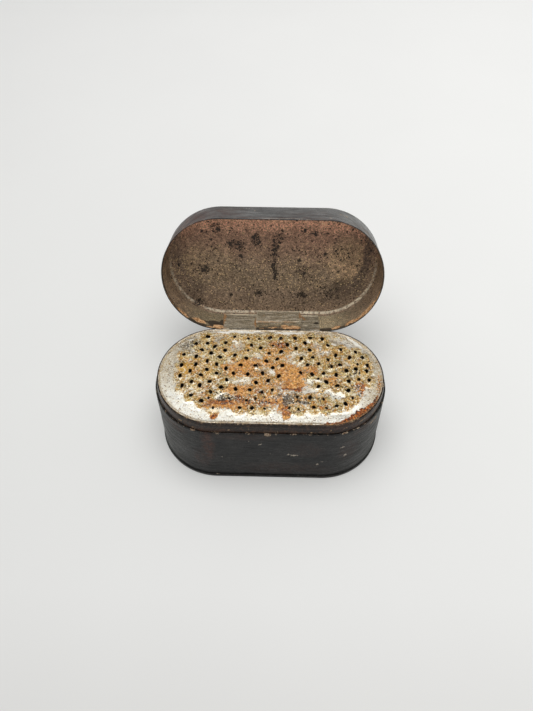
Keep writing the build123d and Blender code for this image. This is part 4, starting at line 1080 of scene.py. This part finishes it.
def lidwall_attr(base, ins, zz, ss, nx, ny):
    v = zz - RIM
    wx, wy = 0.5 * fbm(base, 1.2, 121, 2), 0.5 * fbm(base, 1.2, 123, 2)
    inside = ins > 0.2
    per = o_lid["per"]
    sb = np.mod(ss, per) - (2 * E0 + arc)        # 0 at the middle of the back, growing towards -X
    # rim: dark band along the inner mouth, with painted shade in the hinge slot and beside the straps
    rimk = 1 - sstep(0.35, 2.5, v)
    # rust and bare spots along the inner rim; x = -sb on the straight back
    rust = blobs(-sb, v, [(-14.9, 1.3, 2.0, 1.3, 1.1, -8), (-20.8, 2.1, 2.1, 1.3, 1.1, 10), (-17.2, 0.5, 1.4, 0.5, 0.8), (-26.0, 0.9, 3.4, 0.8, 0.85), (-31.5, 0.5, 3.2, 0.4, 0.72), (-36, 0.5, 2.0, 0.3, 0.6),
                          (5.6, 1.7, 3.2, 1.3, 1.05), (3.4, 2.4, 1.2, 0.9, 0.95), (0.6, 1.4, 2.2, 0.9, 0.66), (-2.0, 2.6, 1.4, 0.6, 0.55), (-2.6, 0.8, 1.4, 0.5, 0.5), (18.2, 1.2, 1.6, 0.9, 0.95), (21.0, 0.6, 1.0, 0.4, 0.8), (24.5, 0.9, 2.4, 0.9, 1.0), (29.0, 1.1, 3.4, 1.3, 1.1), (22.5, 1.4, 1.6, 1.0, 0.9),
                          (33.8, 0.7, 2.4, 0.7, 0.9), (38, 0.4, 2.2, 0.3, 0.6), (-45, 0.3, 3.0, 0.25, 0.55), (60, 0.3, 4.0, 0.25, 0.5)], (wx, wy * 0.5))
    edge = (1 - sstep(0.02, 0.30, v)) * (0.38 + 0.3 * fbm(base, 2.0, 125, 2))
    light_in = 0 * v
    pit = 0.30 + 0.25 * fbm(base, 3.0, 127, 2) + blobs(-sb, v, [(13.2, 4.3, 0.6, 0.8, 0.9), (-16.0, 3.4, 1.4, 1.2, 0.55), (-20, 5, 2.0, 1.4, 0.4)], (wx * .3, wy * .3))
    front = sstep(-2, -14, base[:, 1])
    a = np.abs(ss)
    wear_out = edge + blobs(ss, v, [(-5.0, 7.6, 0.35, 0.7, 0.85), (-8.0, 7.2, 0.3, 0.5, 0.6), (14.8, 1.9, 0.4, 0.6, 0.95), (18.0, 6.8, 0.9, 0.7, 0.7), (19.5, 6.6, 0.6, 0.9, 0.72), (-24, 2.2, 1.5, 0.6, 0.55), (26, 4, 1.3, 0.8, 0.6),
                                    (3.0, 0.9, 5.5, 0.22, 0.74), (44, 3, 1.2, 0.6, 0.65), (-40, 8, 1.2, 0.6, 0.65), (70, 9.5, 3.0, 0.5, 0.65), (-66, 4, 0.8, 1.2, 0.62)], (wx * .3, wy * .3))
    top_edge = sstep(LW1 - 0.6, LW1, zz) * (0.35 + 0.3 * fbm(base, 2.4, 129, 2))
    brown = blobs(ss, v, [(-14, 5.5, 7.0, 4.5, 0.55), (-24, 4, 8, 7, 0.95), (2, 1.3, 18, 0.8, 0.6), (10, 5, 8, 3, 0.2), (25, 3.0, 5, 3, 0.35)], (wx, wy)) + 0.08
    # painted sheen: greyer towards the right end of the lid, less at the left end
    grey = np.clip(0.16 + 0.35 * sstep(18, 28, a) + 0.3 * fbm(base, 6.0, 131, 3) + 0.75 * blobs(ss, v, [(24, 5, 7, 6, 1.0)]) - 0.9 * blobs(ss, v, [(-23, 5, 9, 7, 1.0)]), 0, 1)
    # painted light: glow lightens the inner wall towards the ends
    return dict(wear=np.where(inside, 0, np.maximum(wear_out, top_edge)), grey=grey, brown=brown, mark=np.where(inside, 0, blobs(ss, v, [(2.0, 0.8, 6.5, 0.17, 0.95), (-5.0, 7.6, 0.3, 0.6, 0.9), (15.0, 1.8, 0.4, 0.4, 0.95), (9.5, 0.7, 0.8, 0.15, 0.8), (-8.0, 9.6, 3.5, 0.14, 0.66), (12.0, 8.6, 3.0, 0.14, 0.62), (19.0, 6.6, 0.6, 0.5, 0.75)], (wx * .2, wy * .12))),
                rust=np.where(inside, rust, 0), rim=np.where(inside, np.maximum(rimk * 0.95, blobs(-sb, v, [(1.8, 1.2, 7.0, 2.2, 0.74), (-15.8, 2.7, 3.2, 2.3, 1.15, -18), (-20.0, 2.9, 3.0, 0.9, 0.8, 10), (-14.3, 4.2, 0.9, 2.0, 0.95), (15.5, 0.9, 5.5, 1.1, 0.95), (-22.5, 1.0, 5.0, 1.0, 0.8)], (wx, wy))), 0), pit=np.clip(pit, 0, 1), gold=np.clip(0.55 + 0.4 * fbm(base, 4.0, 133, 2), 0, 1),
                ring=np.clip(0.45 + 0.2 * fbm(base, 5.0, 135, 2), 0, 1), clear=0 * v, dusk=0 * v, glow=sstep(17, 26, np.abs(sb)) * 0.45, reddish=0.25 * front, light=light_in, olive=np.where(inside, sstep(30, 17, np.abs(sb)) * 0.9, 0), lift=np.where(inside, sstep(24, 14, -sb) * sstep(10, 12, -sb) * sstep(1.0, 3.0, v), 0))


mr = [0] * (n_lo - 1) + [0] + [1] * (len(zi) + 1) + [0] * 3
lid_wall, _ = profile_piece("lid_wall_skin", o_lid, lrow, lidwall_attr, lid_disp, (M_LIDOUT, M_LIDIN), mr + [0] * (len(lrow) - len(mr)), lid=True)
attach(lid_wall, "lid"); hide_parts("lid_wall")

# ------------------------------------------------------------------ lid top
o_lt = outline(0.42)
n = o_lt["n"]
in_rows = []          # from the inner sheet's edge down to the flange's foot
ia, zb = 0.54, LTOP - 0.30
rf = 0.85
for a in np.linspace(0, 90, 8):
    t = math.radians(a)
    in_rows.append((ia + rf - rf * math.sin(t), zb - rf + rf * math.cos(t)))
in_rows += [(ia - 0.05, zb - rf - 0.25), (0.43, zb - 1.25), (0.36, zb - 1.40), (0.30, zb - 1.45)]
mid_rows = [(0.295, zb - 0.6), (0.295, LW1 + 0.01), (LID_IN + 0.02, LW1 + 0.01), (LID_IN, LW1 + 0.03)]
out_rows = []
ro = 0.40
for a in np.linspace(8, 90, 6):
    t = math.radians(a)
    out_rows.append((LID_IN + ro - ro * math.cos(t), LTOP - ro + ro * math.sin(t)))
rws = in_rows + mid_rows + out_rows
P = np.concatenate([ring(o_lt, i_, z_) for i_, z_ in rws])
k = len(rws)
faces = grid_faces(k, n)
g1 = hexgrid(0.40, ia + rf + 0.25)
loop1 = ring(o_lt, rws[0][0], 0)[:, :2]
A1, T1, _h1 = cdt_sheet(loop1, g1)
g2 = hexgrid(0.8, 0.44 + 0.6)
loop2 = ring(o_lt, rws[-1][0], 0)[:, :2]
A2, T2, _h2 = cdt_sheet(loop2, g2)
b1 = len(P)
q1 = np.concatenate([A1[n:], np.zeros((len(A1) - n, 1))], 1)
ed1 = edge_dist(q1)
q1[:, 2] = zb + (0.10 * fbm(q1, 9.0, 141, 2) + 0.035 * fbm(q1, 2.5, 143, 3)) * sstep(1.3, 4.0, ed1)
q1[:, 2] = np.minimum(q1[:, 2], zb + 0.04)
PITS = [(-11.8, 5.6, 0.7), (-9.4, 4.3, 0.8), (-9.2, 1.9, 0.5), (-4.4, 5.6, 0.7), (-5.6, 7.4, 0.5), (-20.0, 8.9, 0.45), (-17.3, 6.5, 0.4), (-15.4, 9.8, 0.5), (-23.1, -0.6, 0.35), (-19.7, -2.6, 0.9), (2.5, 9.3, 0.4), (11.6, 8.8, 0.6),
        (8.8, 9.4, 0.5), (14.6, 2.8, 0.55), (0.5, 2.6, 0.6), (0.3, -2.2, 0.6), (0.6, -4.8, 0.5), (8.7, -9.9, 0.7), (-4.0, -9.4, 0.7), (-12.0, -10.0, 0.5), (17.6, 3.7, 0.35), (7.3, 0.8, 0.5), (9.0, -3.0, 0.5), (23.8, -0.4, 0.35),
        (-21.5, -12.2, 0.8), (1.8, 6.0, 0.5), (18.5, -2.4, 0.4), (15.8, -9.8, 0.4), (-26.8, -1.0, 0.5)]
for x, y, r in PITS:
    dd = np.hypot(q1[:, 0] - x, q1[:, 1] - y)
    q1[:, 2] += 0.05 * np.exp(-(dd / (r * 0.8)) ** 2)
q2 = np.concatenate([A2[n:], np.zeros((len(A2) - n, 1))], 1)
ed2 = edge_dist(q2)
q2[:, 2] = LTOP - 0.02 - np.maximum(0, -0.0) + np.minimum(0.0, (0.10 * fbm(q2, 11.0, 145, 2) - 0.05) * sstep(0.5, 3.0, ed2))
b2 = b1 + len(q1)
P = np.concatenate([P, q1, q2])


def tri(T, loop_base, free_base, up):
    out = []
    pl_ = P[:, :2]
    for t in T:
        t = [loop_base + a if a < n else free_base + a - n for a in t]
        s_ = np.cross(pl_[t[1]] - pl_[t[0]], pl_[t[2]] - pl_[t[0]]) > 0
        out.append(tuple(t) if s_ == up else tuple(t[::-1]))
    return out


f1 = tri(T1, 0, b1, False)
f2 = tri(T2, (k - 1) * n, b2, True)
fm = [0] * ((len(in_rows) + 1) * n) + [1] * ((k - 1 - len(in_rows) - 1) * n) + [0] * len(f1) + [1] * len(f2)
X, Y, Z = P.T
wx, wy = 0.8 * fbm(P, 1.6, 151, 3), 0.8 * fbm(P, 1.6, 153, 3)
ix, iy = X, Y
vv = -Y   # along the lid, up the open lid
pit = 0.20 + 0.28 * fbm(P, 3.2, 155, 3)
for x, y, r in PITS:
    dd = np.hypot(X - x + wx * 0.25, -Y - y + wy * 0.25) if False else np.hypot(X - x + wx * 0.3, Y * -1 - y + wy * 0.3)
    pit = np.maximum(pit, (1.5 * np.exp(-(dd / (r * 0.95)) ** 2)) if r < 0.6 else np.maximum(1.3 * np.exp(-(dd / (r * 0.75)) ** 2), 0.80 * np.exp(-(dd / (r * 2.1)) ** 2)))
pit = np.maximum(pit, blobs(X, vv, [(0.5, 5.5, 1.1, 3.6, 0.66), (0.4, -2.5, 0.9, 4.2, 0.80), (1.6, 7.5, 2.4, 1.6, 0.5), (-10.5, 5.2, 3.2, 1.8, 0.62), (-4.8, 6.6, 1.6, 2.4, 0.66), (-16.0, 10.2, 3.0, 1.2, 0.5), (-19.8, -2.4, 2.2, 1.8, 0.62), (8.5, -9.8, 2.6, 1.5, 0.60), (-3.6, -9.0, 2.2, 1.6, 0.5), (9.0, 9.3, 2.6, 1.2, 0.5),
                                    (15.5, -8.0, 4.5, 2.5, 0.45), (8.5, -2.0, 2.0, 3.5, 0.45), (-21.5, -12.5, 2.2, 1.2, 0.6), (-15.6, 9.5, 2.2, 1.6, 0.5), (20, 3, 4, 3, 0.42)], (wx, wy)))
gold = np.clip(sstep(9, -1, vv) * 0.95 + 0.45 * fbm(P, 4.5, 157, 2), 0, 1) * (1 - 0.75 * sstep(-5.5, -10, vv))
reddish = np.clip(sstep(-4.5, 13.0, vv + 0.6 * fbm(P, 6, 159, 2) * 4 + 0.22 * X * 0.2) * 0.95 - 0.12 * blobs(X, vv, [(19, -1.0, 8, 6, 1.0), (-17, -1.5, 7, 5, 1.0)], (wx, wy)), 0, 1)
# painted shade and reflection: paler oval set towards the far edge, darker band outside it
rr_ = np.hypot(np.maximum(np.abs(X + 0.2) - (E0 + 0.6), 0), np.where(vv < 2.0, (vv - 2.0) * 1.06, 0.0))
painted_shade_band = sstep(10.9, 11.5, rr_ + 0.25 * wx) * (0.75 - 0.25 * sstep(-3, -9, vv))
painted_shade_band = np.maximum(painted_shade_band, sstep(-5.5, -9.5, vv) * 0.25)
# painted shade: darker lower corners, left end and faint patches, and a crescent just outside the oval, mostly at the
# right
dusk = blobs(X, vv, [(20.5, -7.5, 6.0, 3.2, 1.0, 28), (12.0, -11.0, 7.0, 2.4, 0.55), (-22.5, -8.5, 3.4, 4.0, 0.6, -35), (-27.5, 3.0, 1.0, 6.0, 0.35), (0.5, 2.0, 1.6, 8.0, 0.25), (7.0, -3.0, 3.0, 5.0, 0.2)], (wx, wy))
dusk = np.maximum(dusk, sstep(10.90, 11.12, rr_ + 0.10 * wx) * (0.78 * sstep(8, 15, X) + 0.30 * sstep(-8, -15, X)) * (1 - sstep(12.9, 13.9, rr_)) * sstep(-9, -5, vv) * (1 - sstep(8, 12, vv)))
# painted light: lit patches inside the oval at the ends
clear = blobs(X, vv, [(21.0, 1.0, 6.0, 6.5, 0.72), (-16, 1.0, 5.0, 5.0, 0.22), (-21.5, 0.5, 4.0, 5.0, 0.34)], (wx, wy)) * (1 - sstep(10.85, 11.05, rr_ + 0.10 * wx))
eo = edge_dist(P)
inner_face = (Z < LTOP - 0.15)
# painted highlight: the cream line along the inner corner fillet, on the hinge half of the lid
painted_highlight_v = np.where((Z > zb - rf * 0.95) & (Z < zb - rf * 0.08) & (eo < ia + rf) & (eo > 0.5), 1.0, 0.0) * sstep(3.0, -6.0, vv) * np.clip(0.85 + 0.35 * fbm(P, 2.5, 161, 2), 0, 1)
painted_highlight_v = painted_highlight_v * np.clip(1 - blobs(X, vv, [(-21.0, -12.9, 2.6, 2.0, 1.0), (-25.5, -7.0, 4.0, 5.0, 0.55)]), 0, 1)
a_ = np.abs(X)
# painted light: glow lightens the far edge and ends of the lid top
at = dict(clear=np.clip(1.45 * clear, 0, 1), dusk=dusk, glow=0.25 * clear + 1.15 * sstep(6.5, 13.0, vv) + 0.35 * sstep(24, 28, np.abs(X)) * (vv > -6), reddish=reddish, ring=painted_shade_band, pit=np.clip(pit, 0, 1.5), gold=gold, light=np.clip(painted_highlight_v, 0, 1),
          # painted sheen: grey greys the lid's outer top
          wear=sstep(1.2, 0.3, eo) * (0.38 + 0.3 * fbm(P, 2.4, 163, 2)) + 0.12 * fbm(P, 5, 165, 2), grey=np.clip(0.25 + 0.35 * fbm(P, 7, 167, 3), 0, 1), brown=np.clip(0.1 + 0.4 * fbm(P, 9, 169, 2), 0, 1),
          mark=blobs(X, Y, [(-8, 4, 2.5, 0.2, 0.62, 30), (6, -3, 3.5, 0.18, 0.6, -14), (15, 5, 1.0, 0.5, 0.7), (-18, -6, 1.2, 0.6, 0.68), (2, 9, 0.8, 0.5, 0.66), (20, -5, 2.0, 0.2, 0.62, 50)], (wx * .2, wy * .2)) * (Z > LTOP - 0.3))
lid_top = make("lid_top_skin", P, faces + f1 + f2, at, lid=True, mats=(M_LIDTOP, M_LIDOUT), face_mat=fm, sharp=50)
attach(lid_top, "lid"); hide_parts("lid_top")

# ------------------------------------------------------------------ lid hinge leaf
yi = R0 - LID_IN - LID_T
T_L = 0.30
pin_r = 0.625
path = [(yi - T_L / 2, RIM + 9.55), (yi - T_L / 2, RIM + 9.3)]
path += [(yi - T_L / 2, RIM + zz) for zz in np.arange(9.0, 0.15, -0.30)]
SLOT = RIM + 3.7
path += [(yi - T_L / 2, RIM + 0.02), (yi - T_L / 2 + 0.03, RIM - 0.08), (yi - T_L / 2 + 0.10, RIM - 0.14), (yi - 0.02, RIM - 0.15), (R0 - 0.04, RIM - 0.15),
         (R0 + 0.08, RIM - 0.17), (HY - pin_r - 0.01, RIM - 0.27), (HY - pin_r, RIM - 0.45), (HY - pin_r, RIM - 0.8), (HY - pin_r, HZ + 0.2)]
for a in range(180, 180 + 320, 16):
    path.append((HY + pin_r * math.cos(math.radians(a)), HZ + pin_r * math.sin(math.radians(a))))
path = np.array(path)
xs = np.unique(np.round(np.concatenate([np.arange(LEAF_X0, LEAF_X1 + 0.01, 0.30), [LEAF_X0, LEAF_X1, MID_X0 + 0.1, MID_X1 - 0.1]]), 3))
nx_, np_ = len(xs), len(path)
PX, PI = np.meshgrid(xs, np.arange(np_))
P = np.stack([PX.ravel(), path[PI.ravel(), 0], path[PI.ravel(), 1]], -1)
v = P[:, 2] - RIM
F = []
sx0, sx1 = MID_X0 + 0.1, MID_X1 - 0.1
for i in range(np_ - 1):
    for j in range(nx_ - 1):
        xm = (xs[j] + xs[j + 1]) / 2
        zm = (path[i, 1] + path[i + 1, 1]) / 2
        if sx0 < xm < sx1 and not (i < 40 and zm > SLOT):
            continue
        a0 = i * nx_ + j
        F.append((a0, a0 + 1, a0 + 1 + nx_, a0 + nx_))
used = np.unique(np.array(F))
mp = -np.ones(len(P), int); mp[used] = np.arange(len(used))
P = P[used]; v = v[used]
F = [tuple(mp[a] for a in f) for f in F]
flat = (v > 0.3)
edgewob = 0.10 * fbm(P * [0, 1, 1], 1.4, 171, 2)
P[:, 0] += np.where(np.abs(P[:, 0] - LEAF_X0) < 0.01, edgewob - 0.45 * sstep(1, 9, v), 0) * flat
P[:, 1] -= np.where(flat, 0.03 * (fbm(P, 2.2, 173, 2) + 1), 0)
wx = 0.3 * fbm(P, 0.9, 175, 2)
X = P[:, 0]
lrust = blobs(X, v, [(LEAF_X0 - 0.1, 6.0, 0.6, 5.0, 0.85), (LEAF_X0 + 0.5, 9.4, 0.9, 0.5, 0.9), (sx0 - 0.15, 3.5, 0.5, 4.0, 0.8), (sx1 + 0.6, 8.0, 0.6, 2.6, 0.75, 20), (-13.2, 0.3, 0.8, 0.6, 0.6), (12.6, 0.4, 1.5, 0.5, 0.6)], (wx, wx))
ldark = blobs(X, v, [(12.6, 4.2, 0.7, 0.8, 0.95), (-13.6, 2.4, 0.3, 1.2, 0.6), (11.0, 0.2, 3.0, 0.5, 0.55), (-9, 0.0, 5.0, 0.3, 0.6), (8.6, 4.0, 0.3, 2.5, 0.6)], (wx, wx))
# painted highlight: cream line across the strap tops and a spot near the slot
strap_painted_highlight = blobs(X, v, [(-9.0, 9.4, 4.8, 0.75, 1.1), (11.0, 9.1, 2.9, 0.6, 1.0), (9.4, 2.6, 0.8, 0.5, 0.7, -30)], (wx * 0, wx * 0.4))
leaf = make("lid_hinge_strap", P, F, dict(fade=np.clip(sstep(8.8, 13.2, X) * 0.35 + 0.35 * sstep(3.0, 0.5, v) + 0.3 * fbm(P, 2.5, 177, 2), 0, 1), rust=lrust, dark=ldark, light=strap_painted_highlight), lid=True, mats=(M_STRAP,), sharp=45)
sol = leaf.modifiers.new("sheet", "SOLIDIFY"); sol.thickness = T_L * MM; sol.offset = 0
bv = leaf.modifiers.new("edge", "BEVEL"); bv.width = 0.05 * MM; bv.segments = 2; bv.limit_method = "ANGLE"; bv.angle_limit = math.radians(50)
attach(leaf, "lid"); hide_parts("lid_hinge_leaf")

# ------------------------------------------------------------------ bridge
def slab(x0, x1, z0a, z0b, z1, y0, y1, nxx, nzz, rad=0.14):
    """Rounded plate: front face at y0 (towards the lid's middle), back at y1."""
    P, F = [], []
    for side in (0, 1):
        for i in range(nzz + 1):
            for j in range(nxx + 1):
                u, w = j / nxx, i / nzz
                x = x0 + (x1 - x0) * u
                zlow = z0a + (z0b - z0a) * u
                zz = zlow + (z1 - zlow) * w
                y = y0 if side == 0 else y1
                if side == 0:
                    dx = min(x - x0, x1 - x)
                    dz = min(zz - zlow, z1 - zz)
                    d = min(dx, dz)
                    if d < rad:
                        y = y0 + rad - math.sqrt(max(0, rad * rad - (rad - d) ** 2))
                P.append((x, y, zz))
    m1 = (nxx + 1) * (nzz + 1)
    for i in range(nzz):
        for j in range(nxx):
            a = i * (nxx + 1) + j
            F.append((a, a + 1, a + nxx + 2, a + nxx + 1))
            F.append((m1 + a, m1 + a + nxx + 1, m1 + a + nxx + 2, m1 + a + 1))
    def rim_loop():
        L = [j for j in range(nxx + 1)]
        L += [i * (nxx + 1) + nxx for i in range(1, nzz + 1)]
        L += [nzz * (nxx + 1) + j for j in range(nxx - 1, -1, -1)]
        L += [i * (nxx + 1) for i in range(nzz - 1, 0, -1)]
        return L
    L = rim_loop()
    for i in range(len(L)):
        a, b = L[i], L[(i + 1) % len(L)]
        F.append((b, a, a + m1, b + m1))
    return np.array(P), F


yl = yi - T_L
P, F = slab(MID_X0, MID_X1, RIM + 3.45, RIM + 4.15, RIM + 10.85, yl - 0.55, yl, 56, 34)
# hammered face and a slightly wavy lower edge
cxl, czl = MID_X0 + 0.7, RIM + 3.45 + 0.7
inn = P[:, 1] < yl - 0.01
P[:, 1] += np.where(inn, 0.05 * fbm(P, 2.4, 181, 3) + 0.02 * fbm(P * [0.15, 1, 1], 0.4, 183, 2), 0)
P[:, 2] += 0.06 * fbm(P, 1.6, 185, 2) * (P[:, 2] < RIM + 4.6)
X, v = P[:, 0], P[:, 2] - RIM
wx = 0.3 * fbm(P, 0.9, 187, 2)
zlow = 3.45 + 0.7 * (X - MID_X0) / (MID_X1 - MID_X0)
# painted highlight: the bridge's lower edge, top edge and left edge
bridge_painted_highlight = np.where(np.abs(v - zlow) < 0.45, 0.22, 0.0) + np.where(v > 10.3, 0.9, 0.0) + np.where(X - MID_X0 < 0.35, 0.35, 0)
brust = blobs(X, v, [(-1.0, 3.7, 4.5, 0.4, 0.66), (4.5, 4.0, 2.6, 0.5, 0.66), (MID_X1 - 0.2, 8.5, 0.5, 3.0, 0.7), (1.2, 10.7, 1.5, 0.4, 0.6), (-2.4, 7.6, 0.4, 0.7, 0.55)], (wx, wx))
bdark = blobs(X, v, [(-1.6, 8.0, 0.5, 0.9, 0.5), (3.5, 9.0, 2.5, 0.5, 0.42), (0.5, 3.6, 2.5, 0.25, 0.55)], (wx, wx))
bridge = make("lid_hinge_stiffener", P, F, dict(fade=0 * X, rust=brust, dark=bdark, light=np.clip(bridge_painted_highlight, 0, 1)), lid=True, mats=(M_BRIDGE,), sharp=50)
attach(bridge, "lid"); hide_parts("lid_hinge_bridge")

# ------------------------------------------------------------------ CAD nodes that stay
for nm, mt in (("base_hinge_leaf", M_STRAP), ("hinge_pin", M_WIRE)):
    ob = frame["nodes"][nm]
    ob.data.materials.clear()
    ob.data.materials.append(mt)

# ------------------------------------------------------------------ stage
me = bpy.data.meshes.new("floor")
S = 1.6
N = 16
vs = [(-S + 2 * S * i / N, -S + 2 * S * j / N, 0) for j in range(N + 1) for i in range(N + 1)]
fs = [(j * (N + 1) + i, j * (N + 1) + i + 1, (j + 1) * (N + 1) + i + 1, (j + 1) * (N + 1) + i) for j in range(N) for i in range(N)]
me.from_pydata(vs, [], fs)
floor = bpy.data.objects.new("floor", me)
bpy.context.scene.collection.objects.link(floor)
fm_ = Mat("pale_floor")
fsp = fm_.nt.nodes.new("ShaderNodeSeparateXYZ")
fm_.nt.links.new(fm_.co, fsp.inputs[0])
# painted light: the floor is drawn darker towards the camera and slightly towards the left, standing in for the fall of
# the light
painted_falloff_ramp = fm_.ramp(fm_.math("MULTIPLY_ADD", fsp.outputs["Y"], 1 / 400.0, 0.25), [(0.05, (0.700, 0.697, 0.685)), (0.13, (0.775, 0.775, 0.765)), (0.25, (0.800, 0.803, 0.790)), (0.45, (0.86, 0.862, 0.85)), (0.85, (0.935, 0.935, 0.925))])
painted_falloff_x = fm_.math("MULTIPLY_ADD", fsp.outputs["X"], 0.0007, 0.996)
fv = fm_.nt.nodes.new("ShaderNodeVectorMath")
fv.operation = "SCALE"
fm_.put(fv, 0, painted_falloff_ramp)
fm_.put(fv, "Scale", fm_.math("MULTIPLY", painted_falloff_x, fm_.step(fm_.noise(60.0, 2), 0.3, 0.7, 0.992, 1.006)))
fm_.done(fv.outputs[0], 0.75, 0.0, None, spec=0.2)
fm_.b.inputs["Emission Color"].default_value = (1.0, 1.0, 0.985, 1)
fr = fm_.math("SQRT", fm_.math("ADD", fm_.math("MULTIPLY", fsp.outputs["X"], fsp.outputs["X"]), fm_.math("MULTIPLY", fsp.outputs["Y"], fsp.outputs["Y"])))
fe = fm_.math("ADD", fm_.step(fr, 260.0, 900.0, 0.06, 0.27), fm_.step(fr, 700.0, 1500.0, 0.0, 0.20))
fm_.put(fm_.b, "Emission Strength", fe)
me.materials.append(fm_.m)

# ------------------------------------------------------------------ light
w = bpy.data.worlds.new("studio")
bpy.context.scene.world = w
w.use_nodes = True
wt = w.node_tree
bg = wt.nodes["Background"]
wtc = wt.nodes.new("ShaderNodeTexCoord")
wsp = wt.nodes.new("ShaderNodeSeparateXYZ")
wt.links.new(wtc.outputs["Generated"], wsp.inputs[0])
wrp = wt.nodes.new("ShaderNodeValToRGB")
wt.links.new(wsp.outputs["Z"], wrp.inputs[0])
# height of the direction: bright sweep low down, dim between, panel glow overhead
stops = ((0.0, 0.60), (0.22, 0.52), (0.42, 0.20), (0.62, 0.24), (0.82, 0.50), (1.0, 0.60))
e = wrp.color_ramp.elements
while len(e) < len(stops):
    e.new(0.5)
for k_, (p_, v_) in enumerate(stops):
    e[k_].position = p_
    e[k_].color = (v_, v_, v_ * 0.985, 1)
wt.links.new(wrp.outputs[0], bg.inputs[0])
bg.inputs[1].default_value = 1.0


def area(name, loc, target, size, power, color=(1, 1, 1)):
    L = bpy.data.lights.new(name, "AREA")
    L.shape = "RECTANGLE"
    L.size, L.size_y = size
    L.energy = power
    L.color = color
    ob = bpy.data.objects.new(name, L)
    bpy.context.scene.collection.objects.link(ob)
    ob.location = loc
    d = Vector(target) - Vector(loc)
    ob.rotation_mode = "QUATERNION"
    ob.rotation_quaternion = d.to_track_quat("-Z", "Y")
    return ob


area("top_box", (-0.012, -0.055, 0.70), (0.0, 0, 0.0), (0.60, 0.56), 3.25)

# ------------------------------------------------------------------ camera
CAM = dict(el=52.235, az=1.494, roll=-0.091, d=166.84, tx=-0.979, tz=33.269, f=671.66)
el, az, roll = (math.radians(CAM[k_]) for k_ in ("el", "az", "roll"))
back = Vector((math.sin(az) * math.cos(el), -math.cos(az) * math.cos(el), math.sin(el)))
right = Vector((math.cos(az), math.sin(az), 0))
up = back.cross(right)
r2 = right * math.cos(roll) + up * math.sin(roll)
u2 = -right * math.sin(roll) + up * math.cos(roll)
cam = bpy.data.cameras.new("camera")
cam.sensor_fit = "AUTO"
cam.sensor_width = 36.0
cam.lens = CAM["f"] * 36.0 / 711.0
cam.clip_start, cam.clip_end = 0.01, 10.0
co = bpy.data.objects.new("camera", cam)
bpy.context.scene.collection.objects.link(co)
loc = (Vector((CAM["tx"], 0, CAM["tz"])) + back * CAM["d"]) * MM
M = Matrix((
    (r2.x, u2.x, back.x, loc.x),
    (r2.y, u2.y, back.y, loc.y),
    (r2.z, u2.z, back.z, loc.z),
    (0, 0, 0, 1)))
co.matrix_world = M
bpy.context.scene.camera = co
bpy.context.scene.view_settings.view_transform = "Standard"
bpy.context.scene.view_settings.look = "None"
